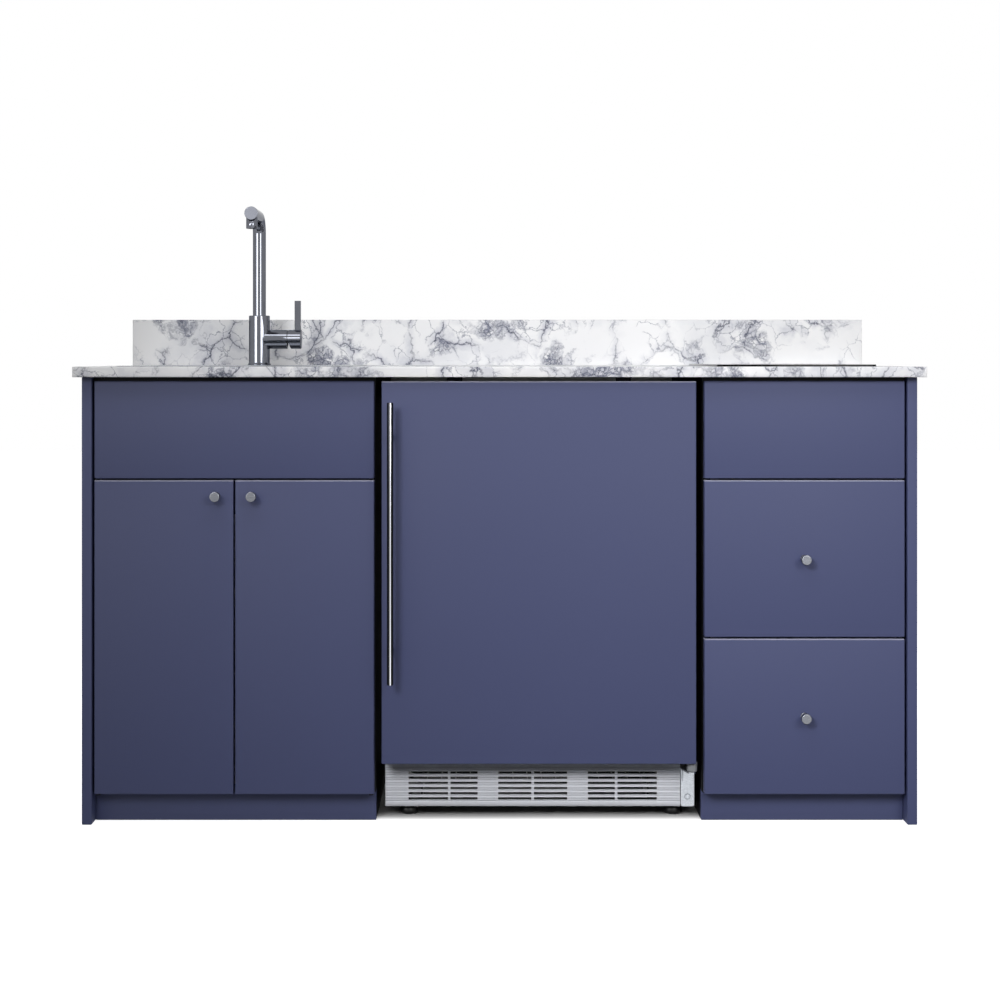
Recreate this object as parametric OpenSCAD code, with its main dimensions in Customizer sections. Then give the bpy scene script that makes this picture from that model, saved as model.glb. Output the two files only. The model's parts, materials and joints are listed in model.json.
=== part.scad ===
// Kitchenette unit: sink cabinet, under-counter refrigerator and drawer cabinet below one worktop
// with a drop-in sink, a side-lever tap and a two-zone hob. Millimetres, X to the right, Y to the
// back, Z up, origin on the floor below the middle of the whole unit.
// Depths are counted from the front edge of the worktop and are turned into Y by fy().

/* [Worktop] */
// Width of the worktop and its backsplash
worktop_w = 1625; // [1560:5:1700]
// Depth of the worktop, front edge to wall
worktop_d = 635; // [625:5:680]
// Thickness of the worktop slab
worktop_t = 20; // [16:1:30]
// Height of the worktop's top face above the floor
worktop_top_z = 877; // [877:1:930]
// Height of the backsplash above the worktop
splash_h = 101.6; // [60:0.1:150]
// Thickness of the backsplash
splash_t = 20; // [12:1:25]
// Overhang of the worktop past each end panel
side_overhang = 13; // [0:1:25]
// Overhang of the worktop in front of the panels' front edges
front_overhang = 25; // [20:1:40]
// Rounding of the stone's front edges
stone_ease = 1.5; // [0.5:0.5:3]

/* [Boards] */
// Thickness of end panels, doors and drawer fronts
panel_t = 19; // [16:1:22]
// Thickness of the carcass boards
carcass_t = 16; // [15:1:19]
// Thickness of the cabinet backs
back_t = 6; // [3:1:8]
// Distance of a cabinet back from the wall
back_inset = 6; // [2:1:20]
// Height of the cabinet floors' undersides above the floor
kick_h = 58.2; // [50:0.1:120]
// Distance of the toe-kick boards behind the panels' front edges
kick_setback = 38; // [36:1:60]
// Height of the upright rails below the worktop
rail_h = 90; // [60:1:100]
// Rounding of the painted fronts' edges
front_ease = 1.2; // [0.4:0.2:2.4]

/* [Cabinets and fronts] */
// X of the middle of the refrigerator's niche
niche_x = 76; // [60:1:95]
// Width of the niche beyond the refrigerator's
niche_gap = 28; // [24:1:40]
// Height of the fixed false fronts
false_h = 186.5; // [150:0.5:200]
// Height of the upper drawer's front
drawer_upper_h = 300; // [270:1:330]
// Gap between fronts, one above the other
front_gap = 3.6; // [3:0.1:5]
// Gap between the two sink doors
pair_gap = 3.7; // [2:0.1:5]
// Gap between the fronts and an end panel
end_gap = 5.2; // [4:0.1:7]
// Step of the fronts inside the cabinet edge beside the refrigerator
niche_inset = 2; // [0:0.5:4]
// Gap between the fronts and the underside of the worktop
top_gap = 7.5; // [4:0.5:12]
// Gap between the bottom of the fronts and the cabinet floor's underside
bottom_gap = 0.6; // [0.5:0.1:2]
// Gap between the fronts' backs and the carcass
bumper_gap = 2.5; // [2:0.1:4]

/* [Knobs and door pivots] */
// Diameter of a knob's face
knob_d = 19.5; // [15:0.5:30]
// Projection of a knob from the front
knob_l = 27; // [20:1:35]
// Distance of a door knob from the door's free edge
knob_edge = 32.5; // [25:0.5:60]
// Distance of a door knob from the door's top
knob_top = 30; // [25:1:80]
// Distance of a sink door's pivot axis from the door's hinge edge
pivot_side = 6; // [5:0.5:7]
// Distance of a sink door's pivot axis behind the door's front face
pivot_back = 6.5; // [6:0.5:7.5]
// Diameter of the pivot pins
pivot_pin_d = 5; // [4:0.5:5]
// Thickness of the pivot leaves
leaf_t = 2.2; // [1.6:0.1:2.4]

/* [Drawers] */
// Space behind a closed drawer box
drawer_gap = 79; // [40:1:120]
// Height of the drawer boxes' sides
drawer_box_h = 200; // [120:5:220]
// Thickness of the drawer boxes' sides
drawer_side_t = 12.7; // [10:0.1:16]
// Thickness of the drawer bottoms
drawer_bottom_t = 6; // [4:1:9]
// Height of a drawer runner
runner_h = 45; // [35:1:45]
// Width taken by a drawer runner on each side
runner_w = 12.9; // [12.9:0.1:14]

/* [Sink] */
// Width of the sink's cabinet beyond its rim
sink_side = 82.5; // [70:0.5:110]
// Distance of the sink's rim from the wall
sink_back = 97; // [90:1:110]
// Distance of the sink's rim behind the worktop's front edge
sink_front = 68; // [66:1:85]
// Distance of the sink and tap left of their cabinet's middle
sink_shift = 5.75; // [-5:0.25:12]
// Depth of the bowl below the worktop
bowl_h = 150; // [110:5:170]
// Thickness of the sink's sheet
sheet_t = 1.2; // [0.8:0.1:2]
// Diameter of the drain opening
drain_d = 84; // [76:1:90]
// Diameter of the waste pipe
waste_d = 38; // [32:1:40]

/* [Tap] */
// Distance of the tap's axis from the sink's back edge
tap_back = 48; // [40:1:52]
// Diameter of the tap's body
tap_body_d = 45; // [42:1:50]
// Height of the tap's body above the worktop
tap_body_h = 108; // [100:1:130]
// Diameter of the spout tube
spout_d = 28; // [22:1:30]
// Height of the spout's horizontal axis above the worktop
spout_h = 318.5; // [250:0.5:360]
// Reach of the spout from its swivel axis to its end face
spout_reach = 147; // [120:1:200]
// Height of the side lever's axis above the worktop
lever_h = 56.7; // [50:0.1:70]
// Diameter of the side sleeve and the lever cap
sleeve_d = 41; // [38:0.5:42]
// Distance of the sleeve's end from the tap's axis
sleeve_end = 61; // [56:1:70]
// Distance of the lever cap's end from the tap's axis
cap_end = 90.6; // [86:0.1:100]
// Height of the lever stick's top above the worktop
stick_top = 140; // [120:1:170]

/* [Hob] */
// Width of the drawer cabinet beyond the hob's glass
hob_side = 82.5; // [74:0.5:110]
// Distance of the hob's glass from the wall
hob_back = 65; // [60:1:90]
// Distance of the hob left of the drawer cabinet's middle
hob_shift = 9.75; // [-5:0.25:12]
// Distance of the hob's glass behind the worktop's front edge
hob_front = 60; // [45:1:70]
// Thickness of the hob's glass
hob_glass_t = 4; // [3:0.5:6]
// Depth of the hob's case below the glass
hob_case_h = 50; // [42:1:80]

/* [Refrigerator] */
// Width of the refrigerator's cabinet and door
fridge_w = 600; // [590:1:604]
// Distance of the refrigerator's middle from the niche's middle
fridge_shift = 2; // [0:0.5:3]
// Distance the door hangs left of the cabinet's middle
door_shift = 3; // [0:0.5:4]
// Distance of the door's front face in front of the other fronts
door_proud = 12; // [8:1:12]
// Thickness of the painted door panel
door_panel_t = 15; // [12:1:15]
// Thickness of the foamed door shell
door_shell_t = 38; // [30:1:45]
// Thickness of the door gasket
gasket_t = 10; // [6:1:14]
// Height of the door's lower edge
fridge_door_z = 119; // [115:1:130]
// Thickness of the insulated cabinet walls
fridge_wall = 42; // [36:1:50]
// Distance of the refrigerator's back from the wall
fridge_back_gap = 34.7; // [20:0.1:60]
// Height of the cabinet's underside
fridge_base_z = 24; // [22:1:30]
// Height of the kick grille
grille_h = 88; // [86:1:92]
// Height of one louvre slot
slot_h = 4.9; // [3:0.1:6]
// Distance between louvre slots
slot_pitch = 10; // [9:0.1:12]
// Diameter of the levelling feet
foot_d = 36; // [28:1:45]
// Diameter of the bar handle
handle_d = 12; // [10:0.5:16]
// Length of the bar handle
handle_l = 533; // [400:1:600]
// Distance of the handle's axis in front of the door
handle_standoff = 36; // [30:1:45]

/* [Hidden] */

$fn = 48;
eps = 0.01;
clear = 0.3;
running = 0.05;

// Depths from the worktop's front edge
front_d = front_overhang;
carcass_d = front_d + panel_t + bumper_gap;
kick_d = front_d + kick_setback;
notch_d = kick_d + carcass_t;
back_d = worktop_d - back_inset - back_t;
fridge_door_d = front_d - door_proud;
shell_d = fridge_door_d + door_panel_t;
gasket_d = shell_d + door_shell_t;
fridge_face_d = gasket_d + gasket_t + clear;
fridge_back_d = worktop_d - fridge_back_gap;
fridge_depth = fridge_back_d - fridge_face_d;
handle_front_d = fridge_door_d - handle_standoff - handle_d / 2;
edge_y = -(worktop_d + handle_front_d) / 2;

// Heights
under_z = worktop_top_z - worktop_t;
fronts_top_z = under_z - top_gap;
fronts_z = kick_h + bottom_gap;
false_z = fronts_top_z - false_h;
doors_top_z = false_z - front_gap;
drawer_upper_z = doors_top_z - drawer_upper_h;
drawer_lower_top_z = drawer_upper_z - front_gap;
rail_z = under_z - rail_h;
middle_rail_z = false_z - 70;

// Widths
outer_x = worktop_w / 2 - side_overhang;
inner_x = outer_x - panel_t;
sink_x0 = -inner_x;
niche_w = fridge_w + niche_gap;
sink_x1 = niche_x - niche_w / 2;
drawer_x1 = inner_x;
drawer_x0 = niche_x + niche_w / 2;
sink_cabinet_middle = (sink_x0 + sink_x1) / 2;
drawer_cabinet_middle = (drawer_x0 + drawer_x1) / 2;
sink_front_x0 = sink_x0 + end_gap;
sink_front_x1 = sink_x1 - niche_inset;
drawer_front_x0 = drawer_x0 + niche_inset;
drawer_front_x1 = drawer_x1 - end_gap;
door_w = (sink_front_x1 - sink_front_x0 - pair_gap) / 2;
door_h = doors_top_z - fronts_z;
left_pivot_x = sink_front_x0 + pivot_side;
right_pivot_x = sink_front_x1 - pivot_side;
pivot_d = front_d + pivot_back;
leaf_w = 9;
leaf_tail = 22;
leaf_z_top = doors_top_z + (front_gap - leaf_t) / 2;
pin_l = 12;

// Drawers
box_x0 = drawer_x0 + carcass_t + runner_w;
box_x1 = drawer_x1 - carcass_t - runner_w;
box_d = front_d + panel_t;
drawer_l = back_d - box_d - drawer_gap;
runner_l = drawer_l - 20;
box_rise = 22;
bottom_groove = 10;
runner_d = carcass_d + 3.5;
runner_rise = 55;
sheet = 1.2;
ball_gap = 0.4;
upper_box_z = drawer_upper_z + box_rise;
lower_box_z = fronts_z + box_rise;

// Sink
sink_w = sink_x1 - sink_x0 - sink_side;
sink_d = worktop_d - sink_front - sink_back;
sink_x = sink_cabinet_middle - sink_shift;
bowl_side = 35;
bowl_front = 28;
bowl_deck = 95;
bowl_corner = 45;
bowl_w = sink_w - 2 * bowl_side;
bowl_d0 = sink_front + bowl_front;
bowl_d1 = sink_front + sink_d - bowl_deck;
bowl_z = worktop_top_z - bowl_h;
cut_margin = 12;
drain_y = fy((bowl_d0 + bowl_d1) / 2);
drain_depth = 42;
waste_t = 2.5;
waste_top_z = bowl_z - drain_depth;
trap_r = 42;
trap_bottom_z = waste_top_z - 110;
trap_rise = 46;
outlet_z = trap_bottom_z + trap_rise + trap_r;
outlet_end_d = worktop_d;
outlet_y = drain_y + 2 * trap_r;

// Tap
tap_y = fy(sink_front + sink_d - tap_back);
deck_z = worktop_top_z + sheet_t;
tap_top_z = worktop_top_z + tap_body_h;
spout_bend = 36;
spout_wall = 1.5;
spout_seat = 32;
spout_flare = 1.25;
spout_axis_z = worktop_top_z + spout_h;
aerator_d = 20.7;
aerator_back = 16;
aerator_l = 31.5;
lever_z = worktop_top_z + lever_h;
sleeve_bore = 32;
cap_wall = 3.5;
cap_gap = 1.2;
carrier_d = 29;
carrier_t = 9;
carrier_x = sink_x + sleeve_end - 12;
spindle_d = 7;
stick_w = 13.2;
stick_t = 8;
tilt = 15;
shank_d = 32;
tail_d = 10;
tail_gap = 15;
tail_bend = 30;
tail_z = outlet_z + 60;
tail_end_d = worktop_d - 5;

// Hob
hob_w = drawer_x1 - drawer_x0 - hob_side;
hob_d = worktop_d - hob_front - hob_back;
hob_x = drawer_cabinet_middle - hob_shift;
hob_y0 = fy(hob_front);
hob_y1 = fy(hob_front + hob_d);
hob_margin = 18;
hob_cut_clear = 1.5;
zone_d = [round(hob_w * 0.585), round(hob_w * 0.471)];
element_h = 26;

// Refrigerator
fridge_x = niche_x + fridge_shift;
fx0 = fridge_x - fridge_w / 2;
fx1 = fridge_x + fridge_w / 2;
dx0 = fx0 - door_shift;
dx1 = fx1 - door_shift;
fridge_top_gap = 15;
fridge_top_z = under_z - fridge_top_gap;
door_top_z = fronts_top_z - 0.5;
shell_top_z = fridge_top_z - 0.6;
hinge_side = 6;
hinge_back = 19;
hinge_x = dx1 - hinge_side;
hinge_y = fy(fridge_door_d + hinge_back);
hinge_pin_d = 5;
hinge_t = 3;
bush_d = 20;
bush_h = 18;
base_top_z = fridge_base_z + grille_h;
base_t = 3;
cavity_x0 = fx0 + fridge_wall;
cavity_x1 = fx1 - fridge_wall;
cavity_z0 = base_top_z + 30;
cavity_z1 = fridge_top_z - fridge_wall;
cavity_h = cavity_z1 - cavity_z0;
cavity_d1 = fridge_back_d - fridge_wall;
step_d = fridge_face_d + round(fridge_depth * 0.611);
step_z = cavity_z0 + 158;
machine_d = step_d + 36;
machine_z = step_z - 32;
machine_wall = 20;
liner_t = 2;
grille_d = fridge_face_d - 1.3;
grille_t = 3;
base_d = grille_d + grille_t;
hinge_plate_w = 26;
grille_x0 = fx0 + 1;
grille_x1 = fx1 - hinge_plate_w - 1.4;
foot_x = [fx0 + 45.4, fx1 - 37.7];
foot_y = [fy(fridge_face_d + 45), fy(fridge_back_d - 40)];
shelf_d0 = fridge_face_d + 100;
shelf_t = 4;
shelf_z = [for (f = [0.32, 0.64]) step_z + round((cavity_z1 - step_z) * f)];
lid_z = step_z + liner_t;
dyke_w = 24;
dyke_l = 34;
dyke_x0 = cavity_x0 + 15;
dyke_x1 = cavity_x1 - 15;
bin_t = 2.5;
bin_d = 88;

// ---------------------------------------------------------------- helpers

// Y of a depth counted from the worktop's front edge
function fy(d) = edge_y + d;

// Points of one rounded corner, or the corner itself where its radius is zero
function corner(x, y, r, a, steps) = r <= 0 ? [[x, y]] :
    [for (i = [0 : steps]) [x + r * cos(a + 90 * i / steps), y + r * sin(a + 90 * i / steps)]];

// Outline of a rectangle whose corners have their own radii, from the low corner round
function outline(x0, y0, x1, y1, r, steps = 3) = concat(
    corner(x0 + r[0], y0 + r[0], r[0], 180, steps),
    corner(x1 - r[1], y0 + r[1], r[1], 270, steps),
    corner(x1 - r[2], y1 - r[2], r[2], 0, steps),
    corner(x0 + r[3], y1 - r[3], r[3], 90, steps));

// A board between two X, two depths and two heights
module board(x, d, z) {
    translate([x[0], fy(d[0]), z[0]])
        cube([x[1] - x[0], d[1] - d[0], z[1] - z[0]]);
}

// Sweeps a side profile, drawn in Y and Z, from one X to another
module along_x(x0, x1) {
    translate([x0, 0, 0])
        rotate([90, 0, 90])
            linear_extrude(x1 - x0)
                children();
}

// A slab whose four front edges are eased, with its front face at depth d[0]
module eased_slab(x, d, z, r) {
    intersection() {
        translate([0, 0, z[0]])
            linear_extrude(z[1] - z[0])
                polygon(outline(x[0], fy(d[0]), x[1], fy(d[1]), [r, r, 0, 0]));
        along_x(x[0], x[1])
            polygon(outline(fy(d[0]), z[0], fy(d[1]), z[1], [r, 0, 0, r]));
    }
}

// A rounded rectangle extruded upwards
module rounded_block(x, y, z, r, steps = 8) {
    translate([0, 0, z[0]])
        linear_extrude(z[1] - z[0])
            polygon(outline(x[0], y[0], x[1], y[1], [r, r, r, r], steps));
}

// A cylinder along X, starting at x
module rod_x(x, y, z, r, l) {
    translate([x, y, z])
        rotate([0, 90, 0])
            cylinder(r = r, h = l);
}

// A cylinder along Y towards the back, starting at y
module rod_y(x, y, z, r, l) {
    translate([x, y, z])
        rotate([-90, 0, 0])
            cylinder(r = r, h = l);
}

// A tube's quarter or half bend in the YZ plane; a is the start angle, b the swept angle
module bend_yz(x, y, z, bend, r, wall, a, b) {
    translate([x, y, z])
        rotate([90, 0, 90])
            rotate([0, 0, a])
                rotate_extrude(angle = b)
                    translate([bend, 0])
                        difference() {
                            circle(r);
                            circle(r - wall);
                        }
}

// An upright tube
module tube_z(x, y, z0, z1, r, wall) {
    translate([x, y, z0])
        difference() {
            cylinder(r = r, h = z1 - z0);
            translate([0, 0, -1])
                cylinder(r = r - wall, h = z1 - z0 + 2);
        }
}

// ---------------------------------------------------------------- stone

// The hole in the worktop that the sink's bowl hangs through
module sink_hole() {
    rounded_block([sink_x - sink_w / 2 + cut_margin, sink_x + sink_w / 2 - cut_margin],
        [fy(sink_front + cut_margin), fy(sink_front + sink_d - cut_margin)],
        [under_z - 1, worktop_top_z + 1], 20);
}

// The hole in the worktop that the hob's case hangs through
module hob_hole() {
    reach = hob_margin - hob_cut_clear;
    rounded_block([hob_x - hob_w / 2 + reach, hob_x + hob_w / 2 - reach],
        [hob_y0 + reach, hob_y1 - reach], [under_z - 1, worktop_top_z + 1], 6);
}

module worktop() {
    color([0.87, 0.87, 0.9])
        difference() {
            eased_slab([-worktop_w / 2, worktop_w / 2], [0, worktop_d],
                [under_z, worktop_top_z], stone_ease);
            sink_hole();
            hob_hole();
        }
}

module backsplash() {
    color([0.84, 0.84, 0.87])
        eased_slab([-worktop_w / 2, worktop_w / 2], [worktop_d - splash_t, worktop_d],
            [worktop_top_z, worktop_top_z + splash_h], stone_ease);
}

// ---------------------------------------------------------------- cabinets

module end_panel(x0) {
    color([0.29, 0.3, 0.43])
        eased_slab([x0, x0 + panel_t], [front_d, worktop_d], [0, under_z], front_ease);
}

// One cabinet side with its toe notch, its groove for the back, and mortises for the pivot leaves
module cabinet_side(x0, groove_x) {
    groove = 5;
    difference() {
        along_x(x0, x0 + carcass_t)
            polygon([[fy(notch_d), 0], [fy(worktop_d), 0], [fy(worktop_d), under_z],
                [fy(carcass_d), under_z], [fy(carcass_d), kick_h], [fy(notch_d), kick_h]]);
        board([groove_x, groove_x + groove], [back_d, back_d + back_t],
            [kick_h, under_z + 1]);
    }
}

module sink_cabinet_sides() {
    color([0.9, 0.89, 0.86]) {
        difference() {
            cabinet_side(sink_x0, sink_x0 + carcass_t - 5);
            pivot_leaf_outline(left_pivot_x, leaf_z_top);
        }
        difference() {
            cabinet_side(sink_x1 - carcass_t, sink_x1 - carcass_t);
            pivot_leaf_outline(right_pivot_x, leaf_z_top);
        }
    }
}

module drawer_cabinet_sides() {
    color([0.9, 0.89, 0.86]) {
        cabinet_side(drawer_x0, drawer_x0 + carcass_t - 5);
        cabinet_side(drawer_x1 - carcass_t, drawer_x1 - carcass_t);
    }
}

module cabinet_floors() {
    color([0.9, 0.89, 0.86]) {
        board([sink_x0 + carcass_t, sink_x1 - carcass_t], [carcass_d, back_d],
            [kick_h, kick_h + carcass_t]);
        board([drawer_x0 + carcass_t, drawer_x1 - carcass_t], [carcass_d, back_d],
            [kick_h, kick_h + carcass_t]);
    }
}

// The sink cabinet's back has a service opening for the pipes
module cabinet_backs() {
    groove = 5;
    service_w = 240;
    service_h = 230;
    color([0.86, 0.85, 0.82]) {
        difference() {
            board([sink_x0 + carcass_t - groove, sink_x1 - carcass_t + groove],
                [back_d, back_d + back_t], [kick_h, under_z]);
            rounded_block_y([sink_x - service_w / 2, sink_x + service_w / 2],
                [outlet_z - service_h / 2, outlet_z + service_h / 2],
                [fy(back_d) - 1, fy(back_d + back_t) + 1], 20);
            wall_screws(sink_cabinet_middle);
        }
        difference() {
            board([drawer_x0 + carcass_t - groove, drawer_x1 - carcass_t + groove],
                [back_d, back_d + back_t], [kick_h, under_z]);
            wall_screws(drawer_cabinet_middle);
            rod_y(drawer_cabinet_middle, fy(back_d) - 1, rail_z - 60, cable_hole_r, back_t + 2);
        }
    }
}

wall_screw_r = 2.5;
wall_screw_gap = 240;
cable_hole_r = 17.5;

// A rounded rectangle in X and Z, extruded along Y
module rounded_block_y(x, z, y, r) {
    translate([0, y[1], 0])
        rotate([90, 0, 0])
            linear_extrude(y[1] - y[0])
                polygon(outline(x[0], z[0], x[1], z[1], [r, r, r, r], 6));
}

// The two screw holes through a rear rail and the back behind it
module wall_screws(x) {
    for (side = [-1, 1])
        rod_y(x + side * wall_screw_gap / 2, fy(back_d - carcass_t) - 1,
            rail_z + rail_h / 2, wall_screw_r, carcass_t + back_t + 2);
}

// A front and a rear rail in each cabinet, and the rail that carries the worktop over the niche
module cabinet_rails() {
    color([0.9, 0.89, 0.86]) {
        for (x = [[sink_x0, sink_x1], [drawer_x0, drawer_x1]]) {
            inner = [x[0] + carcass_t, x[1] - carcass_t];
            board(inner, [carcass_d, carcass_d + carcass_t], [rail_z, under_z]);
            difference() {
                board(inner, [back_d - carcass_t, back_d], [rail_z, under_z]);
                wall_screws((x[0] + x[1]) / 2);
            }
        }
        board([sink_x0 + carcass_t, sink_x1 - carcass_t], [carcass_d, carcass_d + carcass_t],
            [middle_rail_z, middle_rail_z + rail_h]);
        board([sink_x1, drawer_x0], [worktop_d - carcass_t, worktop_d],
            [under_z - rail_h * 0.6, under_z]);
    }
}

module toe_kicks() {
    color([0.26, 0.27, 0.39]) {
        board([sink_x0, sink_x1], [kick_d, notch_d], [0, kick_h]);
        board([drawer_x0, drawer_x1], [kick_d, notch_d], [0, kick_h]);
    }
}

module sink_false_front() {
    color([0.31, 0.32, 0.45])
        eased_slab([sink_front_x0, sink_front_x1], [front_d, front_d + panel_t],
            [false_z, fronts_top_z], front_ease);
}

module drawer_false_front() {
    color([0.31, 0.32, 0.45])
        eased_slab([drawer_front_x0, drawer_front_x1], [front_d, front_d + panel_t],
            [false_z, fronts_top_z], front_ease);
}

// Flat clips that hold each false front on its rail
module false_front_clips() {
    clip_w = 32;
    clip_h = 46;
    clip_z = rail_z + 12;
    color("gainsboro")
        for (x = [sink_front_x0, sink_front_x1, drawer_front_x0, drawer_front_x1]) {
            side = (x == sink_front_x0 || x == drawer_front_x0) ? 1 : -1;
            middle = x + side * 70;
            difference() {
                board([middle - clip_w / 2, middle + clip_w / 2],
                    [front_d + panel_t, carcass_d], [clip_z, clip_z + clip_h]);
                rod_y(middle, fy(front_d + panel_t) - 1, clip_z + clip_h / 2, 4, bumper_gap + 2);
            }
        }
}

// ---------------------------------------------------------------- sink doors

// Plan of a pivot leaf: rounded round the pin, then straight back into the cabinet side
module pivot_leaf_outline(x, z) {
    translate([x, 0, z])
        linear_extrude(leaf_t)
            union() {
                translate([0, fy(pivot_d)])
                    circle(leaf_w / 2);
                translate([-leaf_w / 2, fy(pivot_d)])
                    square([leaf_w, carcass_d + leaf_tail - pivot_d]);
            }
}

module pivot_leaf(x, z, pin_z) {
    pivot_leaf_outline(x, z);
    translate([x, fy(pivot_d), pin_z])
        cylinder(d = pivot_pin_d, h = pin_l + leaf_t / 2 + front_gap / 2);
}

// Four leaves, above and below each door, each with its pin
module door_pivot_leaves() {
    low_z = kick_h - leaf_t;
    reach = pin_l + leaf_t / 2 + front_gap / 2;
    color("silver")
        for (x = [left_pivot_x, right_pivot_x]) {
            union()
                pivot_leaf(x, leaf_z_top, leaf_z_top + leaf_t / 2 - reach);
            intersection() {
                union()
                    pivot_leaf(x, low_z, low_z + leaf_t / 2);
                board([x - 20, x + 20], [0, kick_d], [0, false_z]);
            }
        }
}

// A slab door with a pin bore in its top and bottom edges at its hinge side
module sink_door(x0, pivot_x) {
    bore_l = pin_l + 2;
    color([0.31, 0.32, 0.45])
        difference() {
            eased_slab([x0, x0 + door_w], [front_d, front_d + panel_t],
                [fronts_z, doors_top_z], front_ease);
            for (z = [fronts_z - 1, doors_top_z - bore_l])
                translate([pivot_x, fy(pivot_d), z])
                    cylinder(r = pivot_pin_d / 2 + running, h = bore_l + 1);
        }
}

// A turned knob that stands on a front face at depth d
module knob(x, d, z) {
    r = knob_d / 2;
    color([0.62, 0.62, 0.66])
        translate([x, fy(d), z])
            rotate([90, 0, 0])
                rotate_extrude()
                    polygon([[0, 0], [r * 0.82, 0], [r * 0.82, 2], [r * 0.68, 3.2],
                        [r * 0.66, knob_l * 0.28], [r * 0.72, knob_l * 0.4],
                        [r * 0.9, knob_l * 0.54], [r, knob_l * 0.62], [r, knob_l - 1.2],
                        [r - 1.2, knob_l], [0, knob_l]]);
}

module sink_door_left() {
    sink_door(sink_front_x0, left_pivot_x);
}

module sink_door_right() {
    sink_door(sink_front_x1 - door_w, right_pivot_x);
}

module sink_door_left_knob() {
    knob(sink_front_x0 + door_w - knob_edge, front_d, doors_top_z - knob_top);
}

module sink_door_right_knob() {
    knob(sink_front_x1 - door_w + knob_edge, front_d, doors_top_z - knob_top);
}

// ---------------------------------------------------------------- drawers

// One channel of a runner: its web stands at x, its two flanges reach to x + reach
module channel(x, reach, z, h, d, l, t) {
    low = min(x, x + reach);
    web = reach > 0 ? [x, x + t] : [x - t, x];
    board(web, [d, d + l], [z - h / 2, z + h / 2]);
    for (s = [z - h / 2, z + h / 2 - t])
        board([low, low + abs(reach)], [d, d + l], [s, s + t]);
}

// The cabinet members of one drawer's two runners
module cabinet_channels(z) {
    reach = runner_w * 0.66;
    union()
        channel(drawer_x0 + carcass_t, reach, z, runner_h, runner_d, runner_l, sheet);
    union()
        channel(drawer_x1 - carcass_t, -reach, z, runner_h, runner_d, runner_l, sheet);
}

// The middle members, which travel half as far as the drawer
module middle_channels(z) {
    h = runner_h - 2 * (sheet + ball_gap);
    web = runner_w * 0.25;
    reach = runner_w * 0.57;
    union()
        channel(drawer_x0 + carcass_t + web, reach, z, h, runner_d, runner_l - 4, sheet);
    union()
        channel(drawer_x1 - carcass_t - web, -reach, z, h, runner_d, runner_l - 4, sheet);
}

// The drawer members, screwed to the box
module drawer_channels(z) {
    h = runner_h - 4 * (sheet + ball_gap);
    reach = runner_w * 0.58;
    union()
        channel(box_x0, -reach, z, h, runner_d, runner_l - 8, sheet);
    union()
        channel(box_x1, reach, z, h, runner_d, runner_l - 8, sheet);
}

module runner_cabinet_members() {
    color("lightgray") {
        cabinet_channels(upper_box_z + runner_rise);
        cabinet_channels(lower_box_z + runner_rise);
    }
}

module runner_middle_upper() {
    color("darkgray")
        middle_channels(upper_box_z + runner_rise);
}

module runner_middle_lower() {
    color("darkgray")
        middle_channels(lower_box_z + runner_rise);
}

module drawer_upper_runners() {
    color("lightgray")
        drawer_channels(upper_box_z + runner_rise);
}

module drawer_lower_runners() {
    color("lightgray")
        drawer_channels(lower_box_z + runner_rise);
}

// A drawer box of four walls round a bottom panel, as separate boards
module drawer_box(z) {
    t = drawer_side_t;
    bottom_z = z + bottom_groove;
    color([0.88, 0.8, 0.66]) {
        for (x = [box_x0, box_x1 - t])
            board([x, x + t], [box_d, box_d + drawer_l], [z, z + drawer_box_h]);
        for (d = [box_d, box_d + drawer_l - t])
            board([box_x0 + t, box_x1 - t], [d, d + t],
                [z, z + drawer_box_h - (d == box_d ? 0 : 12)]);
        board([box_x0 + t, box_x1 - t], [box_d + t, box_d + drawer_l - t],
            [bottom_z, bottom_z + drawer_bottom_t]);
    }
}

module drawer_front(z0, z1) {
    color([0.31, 0.32, 0.45])
        eased_slab([drawer_front_x0, drawer_front_x1], [front_d, front_d + panel_t],
            [z0, z1], front_ease);
}

module drawer_upper_front() {
    drawer_front(drawer_upper_z, doors_top_z);
}

module drawer_upper_box() {
    drawer_box(upper_box_z);
}

module drawer_upper_knob() {
    knob((drawer_front_x0 + drawer_front_x1) / 2, front_d, (drawer_upper_z + doors_top_z) / 2);
}

module drawer_lower_front() {
    drawer_front(fronts_z, drawer_lower_top_z);
}

module drawer_lower_box() {
    drawer_box(lower_box_z);
}

module drawer_lower_knob() {
    knob((drawer_front_x0 + drawer_front_x1) / 2, front_d, (fronts_z + drawer_lower_top_z) / 2);
}

// ---------------------------------------------------------------- sink and waste

// The bowl's space, grown by a wall: straight sides, drawn in towards a dished floor
module bowl_form(grow) {
    taper = 8;
    fillet = 22;
    x = [sink_x - bowl_w / 2 - grow, sink_x + bowl_w / 2 + grow];
    y = [fy(bowl_d0) - grow, fy(bowl_d1) + grow];
    low = bowl_z - grow;
    hull() {
        rounded_block(x, y, [worktop_top_z + 2, worktop_top_z + 3], bowl_corner + grow);
        for (turn = [0 : 15 : 90]) {
            inset = taper + fillet * (1 - cos(turn));
            z = low + fillet * (1 - sin(turn));
            rounded_block([x[0] + inset, x[1] - inset], [y[0] + inset, y[1] - inset],
                [z, z + 0.2], bowl_corner);
        }
        translate([sink_x, drain_y, low - 3])
            cylinder(r = drain_d / 2 + 12 + grow, h = 1, $fn = 32);
    }
}

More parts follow.
